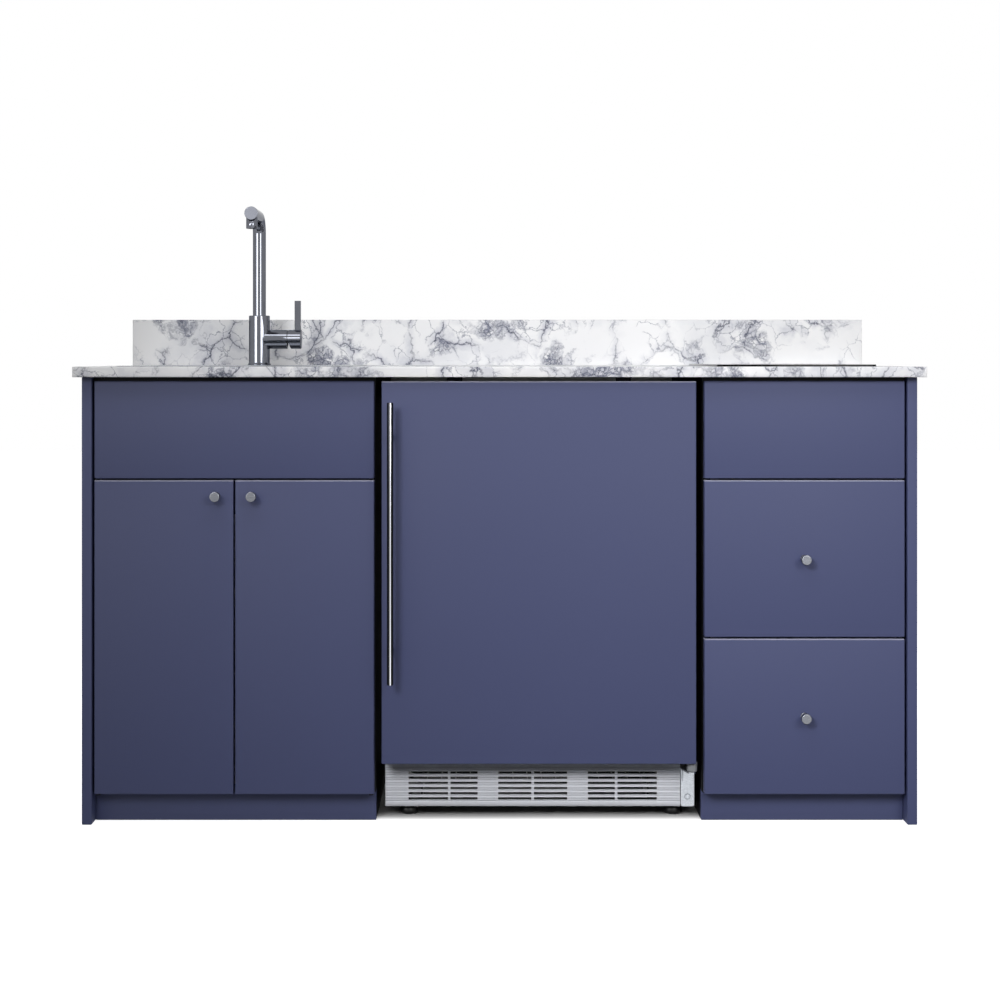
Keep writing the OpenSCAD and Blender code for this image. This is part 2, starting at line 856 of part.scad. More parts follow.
// A pressed steel bowl with a flat rim, a raised bead along the rim and a hole for the tap
module sink_bowl() {
    bead = 9;
    color([0.78, 0.79, 0.8])
        difference() {
            union() {
                rounded_block([sink_x - sink_w / 2, sink_x + sink_w / 2],
                    [fy(sink_front), fy(sink_front + sink_d)],
                    [worktop_top_z, deck_z], 22);
                intersection() {
                    bowl_form(sheet_t);
                    board([-worktop_w, worktop_w], [0, worktop_d], [0, deck_z]);
                }
            }
            bowl_form(0);
            translate([sink_x, tap_y, worktop_top_z - 1])
                cylinder(d = shank_d + 2, h = 5);
            translate([sink_x, drain_y, bowl_z - 10])
                cylinder(r = drain_d / 2 + sheet_t, h = 12);
        }
}

// The strainer's pot: a flange on the bowl's floor, a cup, and a threaded neck for the waste
module strainer_body() {
    r = drain_d / 2;
    t = sheet_t;
    n = waste_d / 2;
    top = bowl_z - 3;
    color([0.74, 0.75, 0.77])
        translate([sink_x, drain_y, 0])
            rotate_extrude()
                polygon([[r, top + 1.5], [r + 10, top + 1.5], [r + 10, top], [r + t, top],
                    [r + t, top - 28], [n + t, waste_top_z + 2], [n + t, waste_top_z - 22],
                    [n, waste_top_z - 22], [n, waste_top_z + 2], [r, top - 28]]);
}

// The lift-out basket: a perforated cup with a rim and a small knob to pull it out by
module strainer_basket() {
    r = drain_d / 2 - 1.2;
    top = bowl_z - 1.2;
    cup_h = 24;
    hole_r = 2;
    color([0.7, 0.71, 0.73])
        translate([sink_x, drain_y, 0])
            difference() {
                rotate_extrude()
                    polygon([[0, top - cup_h], [r - 8, top - cup_h], [r - 1, top - 8],
                        [r - 1, top], [r + 5, top], [r + 5, top + 1], [r - 2.2, top + 1],
                        [r - 2.2, top - 8], [r - 9, top - cup_h + 1.2],
                        [4, top - cup_h + 1.2], [3, top - 10], [8, top - 4], [8, top - 2],
                        [0, top - 1]]);
                for (ring = [12, 20, 28])
                    for (a = [0 : 360 / (ring / 2) : 359])
                        rotate([0, 0, a])
                            translate([ring - 1, 0, top - cup_h - 1])
                                cylinder(r = hole_r, h = 4, $fn = 16);
            }
}

// A slip nut round a waste pipe: a ribbed ring
module slip_nut(h) {
    difference() {
        union() {
            cylinder(r = waste_d / 2 + 6, h = h);
            for (a = [0 : 30 : 359])
                rotate([0, 0, a])
                    translate([waste_d / 2 + 4, -1.5, 0])
                        cube([3.6, 3, h]);
        }
        translate([0, 0, -1])
            cylinder(r = waste_d / 2, h = h + 2);
    }
}

// The trap: tailpiece, half-round bend, riser, quarter bend and the outlet to the wall
module waste_trap() {
    r = waste_d / 2;
    neck_z = waste_top_z - 22;
    bend_z = trap_bottom_z + r;
    color([0.93, 0.93, 0.92]) {
        union() {
            tube_z(sink_x, drain_y, bend_z, neck_z + 16, r, waste_t);
            bend_yz(sink_x, drain_y + trap_r, bend_z, trap_r, r, waste_t, 180, 180);
            tube_z(sink_x, outlet_y, bend_z, outlet_z - trap_r, r, waste_t);
            bend_yz(sink_x, outlet_y + trap_r, outlet_z - trap_r, trap_r, r, waste_t, 90, 90);
            difference() {
                rod_y(sink_x, outlet_y + trap_r, outlet_z, r,
                    fy(outlet_end_d) - outlet_y - trap_r);
                rod_y(sink_x, outlet_y + trap_r - 1, outlet_z, r - waste_t,
                    fy(outlet_end_d) - outlet_y - trap_r + 2);
            }
        }
        for (z = [bend_z + 8, neck_z - 22])
            translate([sink_x, drain_y, z])
                slip_nut(22);
        translate([sink_x, outlet_y, bend_z + 8])
            slip_nut(22);
        translate([sink_x, outlet_y + trap_r + 30, outlet_z])
            rotate([-90, 0, 0])
                slip_nut(22);
    }
}

// ---------------------------------------------------------------- tap

// The body: a foot, an upright barrel and a side sleeve that holds the mixing cartridge
module tap_body() {
    r = tap_body_d / 2;
    foot_r = r + 2.6;
    foot_h = 5;
    color([0.75, 0.76, 0.79])
        difference() {
            union() {
                translate([sink_x, tap_y, deck_z])
                    rotate_extrude()
                        polygon([[0, 0], [foot_r, 0], [foot_r, 1.5], [r, foot_h],
                            [r, tap_top_z - deck_z - 1], [r - 1, tap_top_z - deck_z],
                            [0, tap_top_z - deck_z]]);
                rod_x(sink_x, tap_y, lever_z, sleeve_d / 2, sleeve_end);
            }
            translate([sink_x, tap_y, tap_top_z - spout_seat])
                cylinder(r = spout_d / 2 + running, h = spout_seat + 1);
            translate([sink_x, tap_y, deck_z - 1])
                cylinder(r = 9, h = tap_top_z - deck_z);
            rod_x(sink_x + r, tap_y, lever_z, sleeve_bore / 2, sleeve_end);
        }
}

// Below the deck: shank, washer and nut, with the two rigid supply tails that turn to the wall
module tap_shank() {
    shank_l = 46;
    nut_z = worktop_top_z - 3;
    color([0.72, 0.6, 0.38]) {
        difference() {
            union() {
                translate([sink_x, tap_y, deck_z - shank_l])
                    cylinder(d = shank_d, h = shank_l);
                translate([sink_x, tap_y, nut_z - 12])
                    cylinder(d = 50, h = 12, $fn = 6);
                translate([sink_x, tap_y, nut_z])
                    cylinder(d = 54, h = 3);
            }
            for (side = [-1, 1])
                translate([sink_x + side * tail_gap / 2, tap_y, deck_z - shank_l - 1])
                    cylinder(d = tail_d, h = shank_l);
        }
        for (side = [-1, 1]) {
            x = sink_x + side * tail_gap / 2;
            z = tail_z + side * tail_gap;
            tube_z(x, tap_y, z + tail_bend, deck_z - 1, tail_d / 2, 1);
            bend_yz(x, tap_y + tail_bend, z + tail_bend, tail_bend, tail_d / 2, 1, 180, 90);
            difference() {
                rod_y(x, tap_y + tail_bend, z, tail_d / 2, fy(tail_end_d) - tap_y - tail_bend);
                rod_y(x, tap_y + tail_bend - 1, z, tail_d / 2 - 1, worktop_d);
            }
        }
    }
}

// The swivel spout: riser, quarter bend and a level arm that widens to a flat closed end
module tap_spout() {
    r = spout_d / 2;
    foot_z = tap_top_z - spout_seat + 1;
    bend_z = spout_axis_z - spout_bend;
    arm_l = spout_reach - spout_bend;
    color([0.75, 0.76, 0.79]) {
        difference() {
            union() {
                tube_z(sink_x, tap_y, foot_z, bend_z, r, spout_wall);
                bend_yz(sink_x, tap_y - spout_bend, bend_z, spout_bend, r, spout_wall, 0, 90);
                translate([sink_x, tap_y - spout_bend, spout_axis_z])
                    rotate([90, 0, 0])
                        difference() {
                            cylinder(r1 = r, r2 = r + spout_flare, h = arm_l);
                            translate([0, 0, -1])
                                cylinder(r = r - spout_wall, h = arm_l - 2);
                        }
                translate([sink_x, tap_y - spout_reach + aerator_back,
                    spout_axis_z - aerator_l])
                    cylinder(d = aerator_d, h = aerator_l - 6);
            }
            translate([sink_x, tap_y - spout_reach + aerator_back,
                spout_axis_z - aerator_l - 1])
                cylinder(d = aerator_d - 4, h = aerator_l - 4);
        }
        // the aerator's insert, a disc with a ring of outlet holes
        translate([sink_x, tap_y - spout_reach + aerator_back, spout_axis_z - aerator_l + 1])
            difference() {
                cylinder(d = aerator_d - 4, h = 4);
                for (ring = [[0, 1], [3, 6], [6, 12]])
                    for (i = [0 : ring[1] - 1])
                        rotate([0, 0, 360 * i / ring[1]])
                            translate([ring[0], 0, -1])
                                cylinder(r = 0.7, h = 6, $fn = 16);
            }
    }
}

// The turning carrier inside the sleeve: a disc with a slot for the tilting spindle
module mixer_carrier() {
    color("ivory")
        difference() {
            union() {
                rod_x(carrier_x, tap_y, lever_z, sleeve_bore / 2 - running, carrier_t);
                rod_x(sink_x + tap_body_d / 2, tap_y, lever_z, carrier_d / 2,
                    carrier_x - sink_x - tap_body_d / 2);
            }
            translate([carrier_x - 14, tap_y - spindle_d / 2 - clear, lever_z - 9])
                cube([40, spindle_d + 2 * clear, 18]);
            rod_y(carrier_x + carrier_t / 2, tap_y - 11, lever_z, 1.5 + running, 22);
        }
}

// The lever: cap, upright stick, and the spindle with its pin in the carrier
module mixer_lever() {
    r = sleeve_d / 2;
    cap_x = sink_x + sleeve_end + cap_gap;
    end_x = sink_x + cap_end;
    pivot_x = carrier_x + carrier_t / 2;
    spindle_l = end_x - cap_wall - pivot_x + 6;
    color([0.75, 0.76, 0.79]) {
        difference() {
            union() {
                rod_x(cap_x, tap_y, lever_z, r, end_x - cap_x - 1);
                translate([end_x - 1, tap_y, lever_z])
                    rotate([0, 90, 0])
                        cylinder(r1 = r, r2 = r - 1, h = 1);
                translate([end_x - stick_w - 1, tap_y - stick_t / 2, lever_z])
                    cube([stick_w, stick_t, worktop_top_z + stick_top - lever_z]);
            }
            rod_x(cap_x - 1, tap_y, lever_z, r - cap_wall, end_x - cap_wall - cap_x + 1);
            // relief below the axis, so that the cap can tilt outwards at its top
            along_y(tap_y - r - 1, tap_y + r + 1)
                polygon([[cap_x - 1, lever_z - 1], [cap_x, lever_z - 1],
                    [cap_x + r * tan(tilt + 4), lever_z - r - 1], [cap_x - 1, lever_z - r - 1]]);
        }
        rod_x(pivot_x - 6, tap_y, lever_z, spindle_d / 2, spindle_l);
        rod_y(pivot_x, tap_y - 10, lever_z, 1.5, 20);
    }
}

// Sweeps a profile drawn in X and Z from one Y to another
module along_y(y0, y1) {
    translate([0, y1, 0])
        rotate([90, 0, 0])
            linear_extrude(y1 - y0)
                children();
}

// ---------------------------------------------------------------- hob

module hob_glass() {
    bevel = 1;
    x = [hob_x - hob_w / 2, hob_x + hob_w / 2];
    top = worktop_top_z + hob_glass_t;
    color([0.05, 0.05, 0.06]) {
        intersection() {
            rounded_block(x, [hob_y0, hob_y1], [worktop_top_z, top], 8);
            along_x(x[0], x[1])
                polygon([[hob_y0, worktop_top_z], [hob_y1, worktop_top_z], [hob_y1, top - bevel],
                    [hob_y1 - bevel, top], [hob_y0 + bevel, top], [hob_y0, top - bevel]]);
        }
    }
}

// The folded sheet tray below the glass, with vents, feet for the elements and a cable gland
module hob_case() {
    t = sheet_t;
    top = worktop_top_z;
    low = top - hob_case_h;
    x = [hob_x - hob_w / 2 + hob_margin, hob_x + hob_w / 2 - hob_margin];
    y = [hob_y0 + hob_margin, hob_y1 - hob_margin];
    vents = 9;
    gland_y = y[1] - 40;
    color([0.7, 0.71, 0.73])
        difference() {
            union() {
                rounded_block(x, y, [low, top], 5);
                translate([hob_x, gland_y, low - 14])
                    cylinder(d = 22, h = 15);
            }
            rounded_block([x[0] + t, x[1] - t], [y[0] + t, y[1] - t], [low + t, top + 1], 4);
            for (i = [0 : vents - 1])
                translate([x[0] + 40 + i * (x[1] - x[0] - 80) / (vents - 1) - 2, y[0] + 30, low - 1])
                    cube([4, 60, t + 2]);
            translate([hob_x, gland_y, low - 15])
                cylinder(r = gland_r, h = 20);
        }
}

gland_r = 4.5;

// Two round heaters: insulated dishes pressed against the glass, each with a heating ribbon
module hob_elements() {
    top = worktop_top_z;
    places = [hob_y1 - hob_margin - zone_d[0] / 2 - 16, hob_y0 + hob_margin + zone_d[1] / 2 + 60];
    floor_z = worktop_top_z - hob_case_h + sheet_t;
    for (i = [0, 1]) {
        r = zone_d[i] / 2;
        color([0.8, 0.78, 0.72])
            translate([hob_x, places[i], 0]) {
                rotate_extrude()
                    polygon([[0, top - element_h], [r, top - element_h], [r, top], [r - 6, top],
                        [r - 6, top - element_h + 14], [0, top - element_h + 14]]);
                for (ring = [1 : 5])
                    rotate_extrude()
                        translate([(r - 16) * ring / 5.4, top - element_h + 14])
                            square([2, 6]);
                translate([0, 0, floor_z])
                    cylinder(r = 16, h = top - element_h - floor_z);
            }
    }
}

// ---------------------------------------------------------------- refrigerator cabinet

// Side profile of the cold space in Y and Z: a tall room with a step over the machine room
function cold_profile(in) = [
    [fy(fridge_face_d) - 1, cavity_z0 + in], [fy(step_d) - in, cavity_z0 + in],
    [fy(step_d) - in, step_z + in], [fy(cavity_d1) - in, step_z + in],
    [fy(cavity_d1) - in, cavity_z1 - in], [fy(fridge_face_d) - 1, cavity_z1 - in]];

// The insulated cabinet: a cold space above, an air duct and the machine room below
module fridge_cabinet() {
    duct = [fx0 + machine_wall, fx1 - machine_wall];
    color([0.86, 0.87, 0.88])
        difference() {
            along_x(fx0, fx1)
                polygon([[fy(base_d), fridge_base_z], [fy(fridge_back_d), fridge_base_z],
                    [fy(fridge_back_d), fridge_top_z], [fy(fridge_face_d), fridge_top_z],
                    [fy(fridge_face_d), base_top_z], [fy(base_d), base_top_z]]);
            along_x(cavity_x0, cavity_x1)
                polygon(cold_profile(0));
            board(duct, [fridge_face_d - 1, machine_d + 1],
                [fridge_base_z + base_t, base_top_z - 8]);
            board(duct, [machine_d, fridge_back_d + 1], [fridge_base_z + base_t, machine_z]);
            for (x = foot_x)
                for (y = foot_y)
                    translate([x, y, fridge_base_z - 1])
                        cylinder(r = 5, h = base_t + 2);
        }
}

// The moulded plastic liner, with a ledge under each end of every shelf
module fridge_liner() {
    ledge = 9;
    inner = [cavity_x0 + liner_t, cavity_x1 - liner_t];
    color([0.96, 0.96, 0.96])
        union() {
            difference() {
                along_x(cavity_x0, cavity_x1)
                    intersection() {
                        polygon(cold_profile(0));
                        translate([fy(fridge_face_d), 0])
                            square([fridge_depth, worktop_top_z]);
                    }
                along_x(inner[0], inner[1])
                    polygon(cold_profile(liner_t));
            }
            for (z = concat([lid_z], shelf_z))
                for (x = [inner[0] - 1, inner[1] - ledge])
                    board([x, x + ledge + 1], [shelf_d0 + 15, z == lid_z ? step_d : cavity_d1],
                        [z - 8, z]);
        }
}

// The kick grille: a ribbed plate with six rows of slots in three groups, each with a mullion
module kick_grille() {
    rows = 6;
    grille_w = grille_x1 - grille_x0;
    group_w = round(grille_w * 0.2344);
    group_pitch = round(grille_w * 0.3044);
    mullion_w = 5;
    mullion_pitch = round(grille_w * 0.2834);
    middle = (grille_x0 + grille_x1) / 2;
    slot_z = fridge_base_z + 15;
    color([0.79, 0.8, 0.84])
        difference() {
            union() {
                along_x(grille_x0, grille_x1)
                    polygon(concat(
                        [[fy(grille_d + grille_t), base_top_z], [fy(grille_d), base_top_z]],
                        [for (i = [rows : -1 : 0]) for (p = [[0, 1.5], [1.1, 0.9], [0.2, 0]])
                            [fy(grille_d) + p[0], slot_z + slot_h / 2 + i * slot_pitch - slot_pitch + 3 * p[1]]],
                        [[fy(grille_d), fridge_base_z + 4], [fy(grille_d + 1.5), fridge_base_z],
                         [fy(grille_d + grille_t), fridge_base_z]]));
                // the returns that clip into the base
                for (x = [fx0 + machine_wall, grille_x1 - 12])
                    board([x, x + 3], [grille_d + grille_t - 1, grille_d + 22],
                        [fridge_base_z + base_t + 1, base_top_z - 12]);
            }
            for (g = [-1 : 1])
                for (i = [0 : rows - 1])
                    for (side = [-1, 1]) {
                        low = middle + g * group_pitch - group_w / 2;
                        high = low + group_w;
                        rib = middle + g * mullion_pitch;
                        x = side < 0 ? [low, rib - mullion_w / 2] : [rib + mullion_w / 2, high];
                        z = slot_z + i * slot_pitch;
                        board(x, [grille_d - 1, grille_d + grille_t + 1],
                            [z - slot_h / 2, z + slot_h / 2]);
                    }
        }
}

// Four screw feet with a domed button and a lock nut
module fridge_feet() {
    r = foot_d / 2;
    color([0.06, 0.06, 0.07])
        for (x = foot_x)
            for (y = foot_y)
                translate([x, y, 0]) {
                    rotate_extrude()
                        polygon([[0, 0], [r * 0.62, 0], [r * 0.82, 1], [r * 0.94, 3], [r, 6.5],
                            [r * 0.98, 12], [r * 0.86, 16], [r * 0.5, 18],
                            [5, 18], [5, fridge_base_z + 16], [0, fridge_base_z + 16]]);
                    translate([0, 0, fridge_base_z - 5])
                        difference() {
                            cylinder(r = 9, h = 5, $fn = 6);
                            translate([0, 0, -1])
                                cylinder(r = 5, h = 7);
                        }
                }
}

// The lower hinge: an upright plate with a bolt, a leaf under the door, a gusset and the pin
module fridge_hinge_lower() {
    leaf_z = fridge_door_z - bush_h - hinge_t - 0.4;
    x = [fx1 - hinge_plate_w, fx1];
    plate_d = grille_d - 0.5;
    bolt_z = fridge_base_z + 19;
    color([0.78, 0.79, 0.82])
        union() {
            rounded_block_y(x, [fridge_base_z, leaf_z + hinge_t],
                [fy(plate_d), fy(base_d)], 4);
            intersection() {
                board([x[0], hinge_x + 6], [shell_d - 6, plate_d + 1], [leaf_z, leaf_z + hinge_t]);
                translate([0, 0, leaf_z])
                    linear_extrude(hinge_t)
                        polygon([[x[0], fy(plate_d + 1)], [x[0], fy(plate_d - 14)],
                            [hinge_x - 7, hinge_y - 5], [hinge_x - 3, hinge_y - 9],
                            [hinge_x + 3, hinge_y - 9], [hinge_x + 6, hinge_y - 5],
                            [hinge_x + 6, fy(plate_d + 1)]]);
            }
            along_x(x[0] + 2, x[0] + 4)
                polygon([[fy(plate_d) + 1, leaf_z - 26], [fy(plate_d) + 1, leaf_z + 1],
                    [fy(plate_d) - 22, leaf_z + 1]]);
            translate([hinge_x, hinge_y, leaf_z + 1])
                cylinder(d = hinge_pin_d, h = hinge_t + bush_h - 3);
            translate([fx1 - hinge_plate_w / 2, fy(plate_d) + 1, bolt_z])
                rotate([90, 0, 0])
                    rotate_extrude()
                        polygon([[0, 0], [5.8, 0], [5.8, 2.2], [4.6, 3.6], [3.2, 3.8], [2.8, 2.6], [0, 2.6]]);
        }
}

// The upper hinge plate with its pin, and two straps that tie the cabinet to the worktop
module fridge_top_brackets() {
    nose = 3.7;
    plate_z = fridge_top_z;
    color([0.78, 0.79, 0.82]) {
        union() {
            translate([0, 0, plate_z])
                linear_extrude(hinge_t)
                    union() {
                        translate([hinge_x, hinge_y])
                            circle(nose);
                        translate([hinge_x - 26, hinge_y])
                            square([26 + nose, 96]);
                        translate([hinge_x - 26, hinge_y - nose])
                            square([26, nose + 1]);
                    }
            translate([hinge_x, hinge_y, plate_z - 12])
                cylinder(d = hinge_pin_d, h = 13);
        }
        for (x = [fridge_x - 180, fridge_x + 150]) {
            along_x(x, x + 30)
                polygon([[fy(fridge_face_d + 30), fridge_top_z], [fy(fridge_face_d + 90), fridge_top_z],
                    [fy(fridge_face_d + 90), fridge_top_z + 2], [fy(fridge_face_d + 32), fridge_top_z + 2],
                    [fy(fridge_face_d + 32), under_z], [fy(fridge_face_d + 4), under_z],
                    [fy(fridge_face_d + 4), under_z - 2], [fy(fridge_face_d + 30), under_z - 2]]);
        }
    }
}

// ---------------------------------------------------------------- refrigerator door

module fridge_door_panel() {
    color([0.32, 0.33, 0.46])
        eased_slab([dx0, dx1], [fridge_door_d, shell_d], [fridge_door_z, door_top_z], front_ease);
}

// The foamed shell behind the panel, with bores for the upper pin and the lower bush's spigot
module fridge_door_shell() {
    r = 4;
    color([0.84, 0.85, 0.87])
        difference() {
            translate([0, 0, fridge_door_z])
                linear_extrude(shell_top_z - fridge_door_z)
                    polygon(outline(dx0, fy(shell_d), dx1, fy(gasket_d), [0, 0, r, r]));
            translate([hinge_x, hinge_y, shell_top_z - 14])
                cylinder(r = hinge_pin_d / 2 + running, h = 15);
        }
}

// The moulded inner door: a tray with two upright dykes that carry the bins
module fridge_door_liner() {
    z = [cavity_z0 + 8, cavity_z1 - 8];
    back = fy(gasket_d + dyke_l);
    color([0.96, 0.96, 0.96])
        union() {
            board([dyke_x0, dyke_x1], [gasket_d, gasket_d + liner_t], z);
            for (x = [dyke_x0, dyke_x1 - dyke_w])
                translate([0, 0, z[0]])
                    linear_extrude(z[1] - z[0])
                        polygon(outline(x, fy(gasket_d), x + dyke_w, back, [0, 0, 8, 8], 4));
        }
}

// The magnetic seal, a bellows ring between door shell and cabinet
module fridge_gasket() {
    w = 13;
    x = [max(dx0, fx0) + 6, min(dx1, fx1) - 6];
    z = [fridge_door_z + 4, shell_top_z - 4];
    color([0.75, 0.76, 0.78])
        difference() {
            rounded_block_y(x, z, [fy(gasket_d), fy(gasket_d + gasket_t)], 8);
            rounded_block_y([x[0] + w, x[1] - w], [z[0] + w, z[1] - w],
                [fy(gasket_d) - 1, fy(gasket_d + gasket_t) + 1], 3);
            // the fold of the bellows
            difference() {
                rounded_block_y([x[0] - 1, x[1] + 1], [z[0] - 1, z[1] + 1],
                    [fy(gasket_d + gasket_t * 0.4), fy(gasket_d + gasket_t * 0.6)], 3);
                rounded_block_y([x[0] + 3, x[1] - 3], [z[0] + 3, z[1] - 3],
                    [fy(gasket_d), fy(gasket_d + gasket_t)], 6);
            }
        }
}

// The grey bush below the door's lower corner, which turns on the lower pin
module fridge_hinge_bush() {
    color([0.5, 0.52, 0.52])
        translate([hinge_x, hinge_y, fridge_door_z - bush_h])
            difference() {
                rotate_extrude()
                    polygon([[0, 0], [bush_d / 2 - 1.5, 0], [bush_d / 2, 1.5],
                        [bush_d / 2, bush_h], [0, bush_h]]);
                translate([0, 0, -1])
                    cylinder(r = hinge_pin_d / 2 + running, h = bush_h - 1);
            }
}

// Three moulded bins between the dykes, the lowest deep enough for bottles
module fridge_door_bins() {
    t = bin_t;
    x = [dyke_x0 + dyke_w, dyke_x1 - dyke_w];
    d = [gasket_d + liner_t, gasket_d + liner_t + bin_d];
    color([0.82, 0.86, 0.9])
        for (b = [for (f = [[0.021, 0.17], [0.38, 0.115], [0.669, 0.115]])
            [cavity_z0 + round(cavity_h * f[0]), round(cavity_h * f[1])]])
            difference() {
                translate([0, 0, b[0]])
                    linear_extrude(b[1])
                        polygon(outline(x[0], fy(d[0]), x[1], fy(d[1]), [0, 0, 14, 14], 5));
                translate([0, 0, b[0] + t])
                    linear_extrude(b[1])
                        polygon(outline(x[0] + t, fy(d[0]) + t, x[1] - t, fy(d[1]) - t,
                            [0, 0, 12, 12], 5));
            }
}

// The bar handle: a round bar with chamfered ends on two posts
module fridge_handle() {
    x = dx0 + 18;
    y = fy(fridge_door_d - handle_standoff);
    top = door_top_z - 40;
    low = top - handle_l;
    r = handle_d / 2;
    post_in = 64;
    color([0.5, 0.5, 0.52]) {
        translate([x, y, low])
            rotate_extrude()
                polygon([[0, 0], [r - 0.8, 0], [r, 0.8], [r, handle_l - 0.8],
                    [r - 0.8, handle_l], [0, handle_l]]);
        for (z = [low + post_in, top - post_in])
            difference() {
                rod_y(x, y, z, 4.5, handle_standoff);
                translate([x, y, z - 10])
                    cylinder(r = r, h = 20);
            }
    }
}

// ---------------------------------------------------------------- refrigerator interior

// Two glass shelves and the crisper's glass lid, each with a rounded front trim
module fridge_shelves() {
    side = liner_t + 1;
    color([0.8, 0.88, 0.86])
        for (z = concat([lid_z], shelf_z)) {
            x = [cavity_x0 + side, cavity_x1 - side];
            board(x, [shelf_d0 + 8, cavity_d1 - liner_t - 4], [z, z + shelf_t]);
            along_x(x[0], x[1])
                difference() {
                    polygon(outline(fy(shelf_d0), z - 6, fy(shelf_d0 + 14), z + shelf_t + 3,
                        [4, 1, 1, 4], 4));
                    translate([fy(shelf_d0 + 8), z])
                        square([10, shelf_t]);
                }
        }
}

// The crisper: a tapered tub with a turned rim and a finger lip
module fridge_crisper() {
    t = 2.5;
    z = [cavity_z0 + liner_t, lid_z - 7];
    x = [cavity_x0 + 14, cavity_x1 - 14];
    d = [shelf_d0 + 2, step_d - liner_t - 8];
    color([0.82, 0.86, 0.9])
        difference() {
            union() {
                rounded_block([x[0], x[1]], [fy(d[0]), fy(d[1])], z, 10, 4);
                board([x[0] + 120, x[1] - 120], [d[0] - 10, d[0] + 1], [z[1] - 4, z[1]]);
            }
            rounded_block([x[0] + t, x[1] - t], [fy(d[0]) + t, fy(d[1]) - t],
                [z[0] + t, z[1] + 1], 8, 4);
        }
}

// The sealed compressor: a domed can with a weld seam, a foot plate and rubber feet
module compressor() {
    r = round((fridge_back_d - machine_d) * 0.4286);
    x = cavity_x1 - 70;
    y = fy((machine_d + fridge_back_d) / 2);
    z = fridge_base_z + base_t;
    h = 150;
    color([0.12, 0.12, 0.13])
        translate([x, y, z]) {
            rotate_extrude()
                polygon([[0, 16], [r * 0.72, 16], [r * 0.9, 22], [r, 38], [r, 80], [r + 3, 80],
                    [r + 3, 84], [r, 84], [r, h - 34], [r * 0.92, h - 14], [r * 0.7, h - 2],
                    [r * 0.36, h + 4], [0, h + 5]]);
            difference() {
                translate([-68, -50, 12])
                    cube([136, 100, 4]);
                for (sx = [-1, 1])
                    for (sy = [-1, 1])
                        translate([sx * 58, sy * 40, 0])
                            cylinder(r = 5, h = 20);
            }
            for (sx = [-1, 1])
                for (sy = [-1, 1])
                    translate([sx * 58, sy * 40, 0])
                        cylinder(r = 9, h = 12);
        }
}

// The wire-and-tube condenser that lies in the base behind the grille
module condenser() {
    runs = 9;
    r = 2.5;
    pitch = round((step_d - fridge_face_d) * 0.0875);
    x = [fx0 + 60, fx1 - 75];
    d0 = fridge_face_d + 62;
    z = fridge_base_z + base_t + 30;
    wires = 16;
    color([0.1, 0.1, 0.11]) {
        union() {
            for (i = [0 : runs - 1])
                rod_x(x[0], fy(d0 + i * pitch), z, r, x[1] - x[0]);
            for (i = [0 : runs - 2])
                translate([i % 2 == 0 ? x[1] : x[0], fy(d0 + (i + 0.5) * pitch), z])
                    rotate([0, 0, i % 2 == 0 ? -90 : 90])
                        rotate_extrude(angle = 180)
                            translate([pitch / 2, 0])
                                circle(r);
        }
        for (i = [0 : wires - 1])
            rod_y(x[0] + 20 + i * (x[1] - x[0] - 40) / (wires - 1), fy(d0 - 8), z + r + 0.8, 0.8,
                (runs - 1) * pitch + 16);
        // stands that clip round the tubes
        for (sx = [x[0] + 8, x[1] - 12])
            difference() {
                board([sx, sx + 4], [d0 - 6, d0 + (runs - 1) * pitch + 6],
                    [fridge_base_z + base_t, z]);
                for (i = [0 : runs - 1])
                    rod_x(sx - 1, fy(d0 + i * pitch), z, r, 6);
            }
    }
}

// The thermostat's housing on the right wall, with a lamp window and a bore for the dial
dial_y = fy(shelf_d0 + 30);
dial_z = (shelf_z[1] + cavity_z1) / 2 + 10;
housing_x = cavity_x1 - liner_t;
housing_t = 28;
dial_t = 13;

module thermostat_housing() {
    color([0.93, 0.93, 0.93])
        difference() {
            along_x(housing_x - housing_t, housing_x)
                polygon(outline(dial_y - 34, dial_z - 34, dial_y + 116, dial_z + 34,
                    [10, 10, 10, 10], 4));
            rod_x(housing_x - housing_t - 1, dial_y, dial_z, 3 + running, 19);
            for (i = [0 : 5])
                board_yz(housing_x - housing_t - 1, 3, dial_y + 40 + i * 11, dial_z - 20, 5, 40);
        }
}

// A shallow slot in the housing's face
module board_yz(x, t, y, z, w, h) {
    translate([x, y, z])
        cube([t, w, h]);
}

// The ribbed dial with its pointer and spindle
module thermostat_dial() {
    r = 18;
    x = housing_x - housing_t - clear - dial_t;
    color([0.85, 0.86, 0.88])
        union() {
            rod_x(x, dial_y, dial_z, r - 2, dial_t);
            for (a = [0 : 15 : 359])
                translate([x, dial_y, dial_z])
                    rotate([a, 0, 0])
                        translate([2, r - 3, -1])
                            cube([dial_t - 2, 3, 2]);
            translate([x - 2, dial_y - 1.5, dial_z - 2])
                cube([3, 3, r - 1]);
            rod_x(x + 1, dial_y, dial_z, 3, dial_t + 15);
        }
}

// ---------------------------------------------------------------- drawing

worktop();
backsplash();
end_panel(-outer_x);  // end_panel_left
end_panel(inner_x);  // end_panel_right
sink_cabinet_sides();
drawer_cabinet_sides();
cabinet_floors();
cabinet_backs();
cabinet_rails();
toe_kicks();
sink_false_front();
drawer_false_front();
false_front_clips();
door_pivot_leaves();
sink_door_left();
sink_door_left_knob();
sink_door_right();
sink_door_right_knob();
runner_cabinet_members();
runner_middle_upper();
runner_middle_lower();
drawer_upper_front();
drawer_upper_box();
drawer_upper_knob();
drawer_upper_runners();
drawer_lower_front();
drawer_lower_box();
drawer_lower_knob();
drawer_lower_runners();
sink_bowl();
strainer_body();
strainer_basket();
waste_trap();
tap_body();
tap_shank();
tap_spout();
mixer_carrier();
mixer_lever();
hob_glass();
hob_case();
hob_elements();
fridge_cabinet();
fridge_liner();
kick_grille();
fridge_feet();
fridge_hinge_lower();
fridge_top_brackets();
fridge_door_panel();
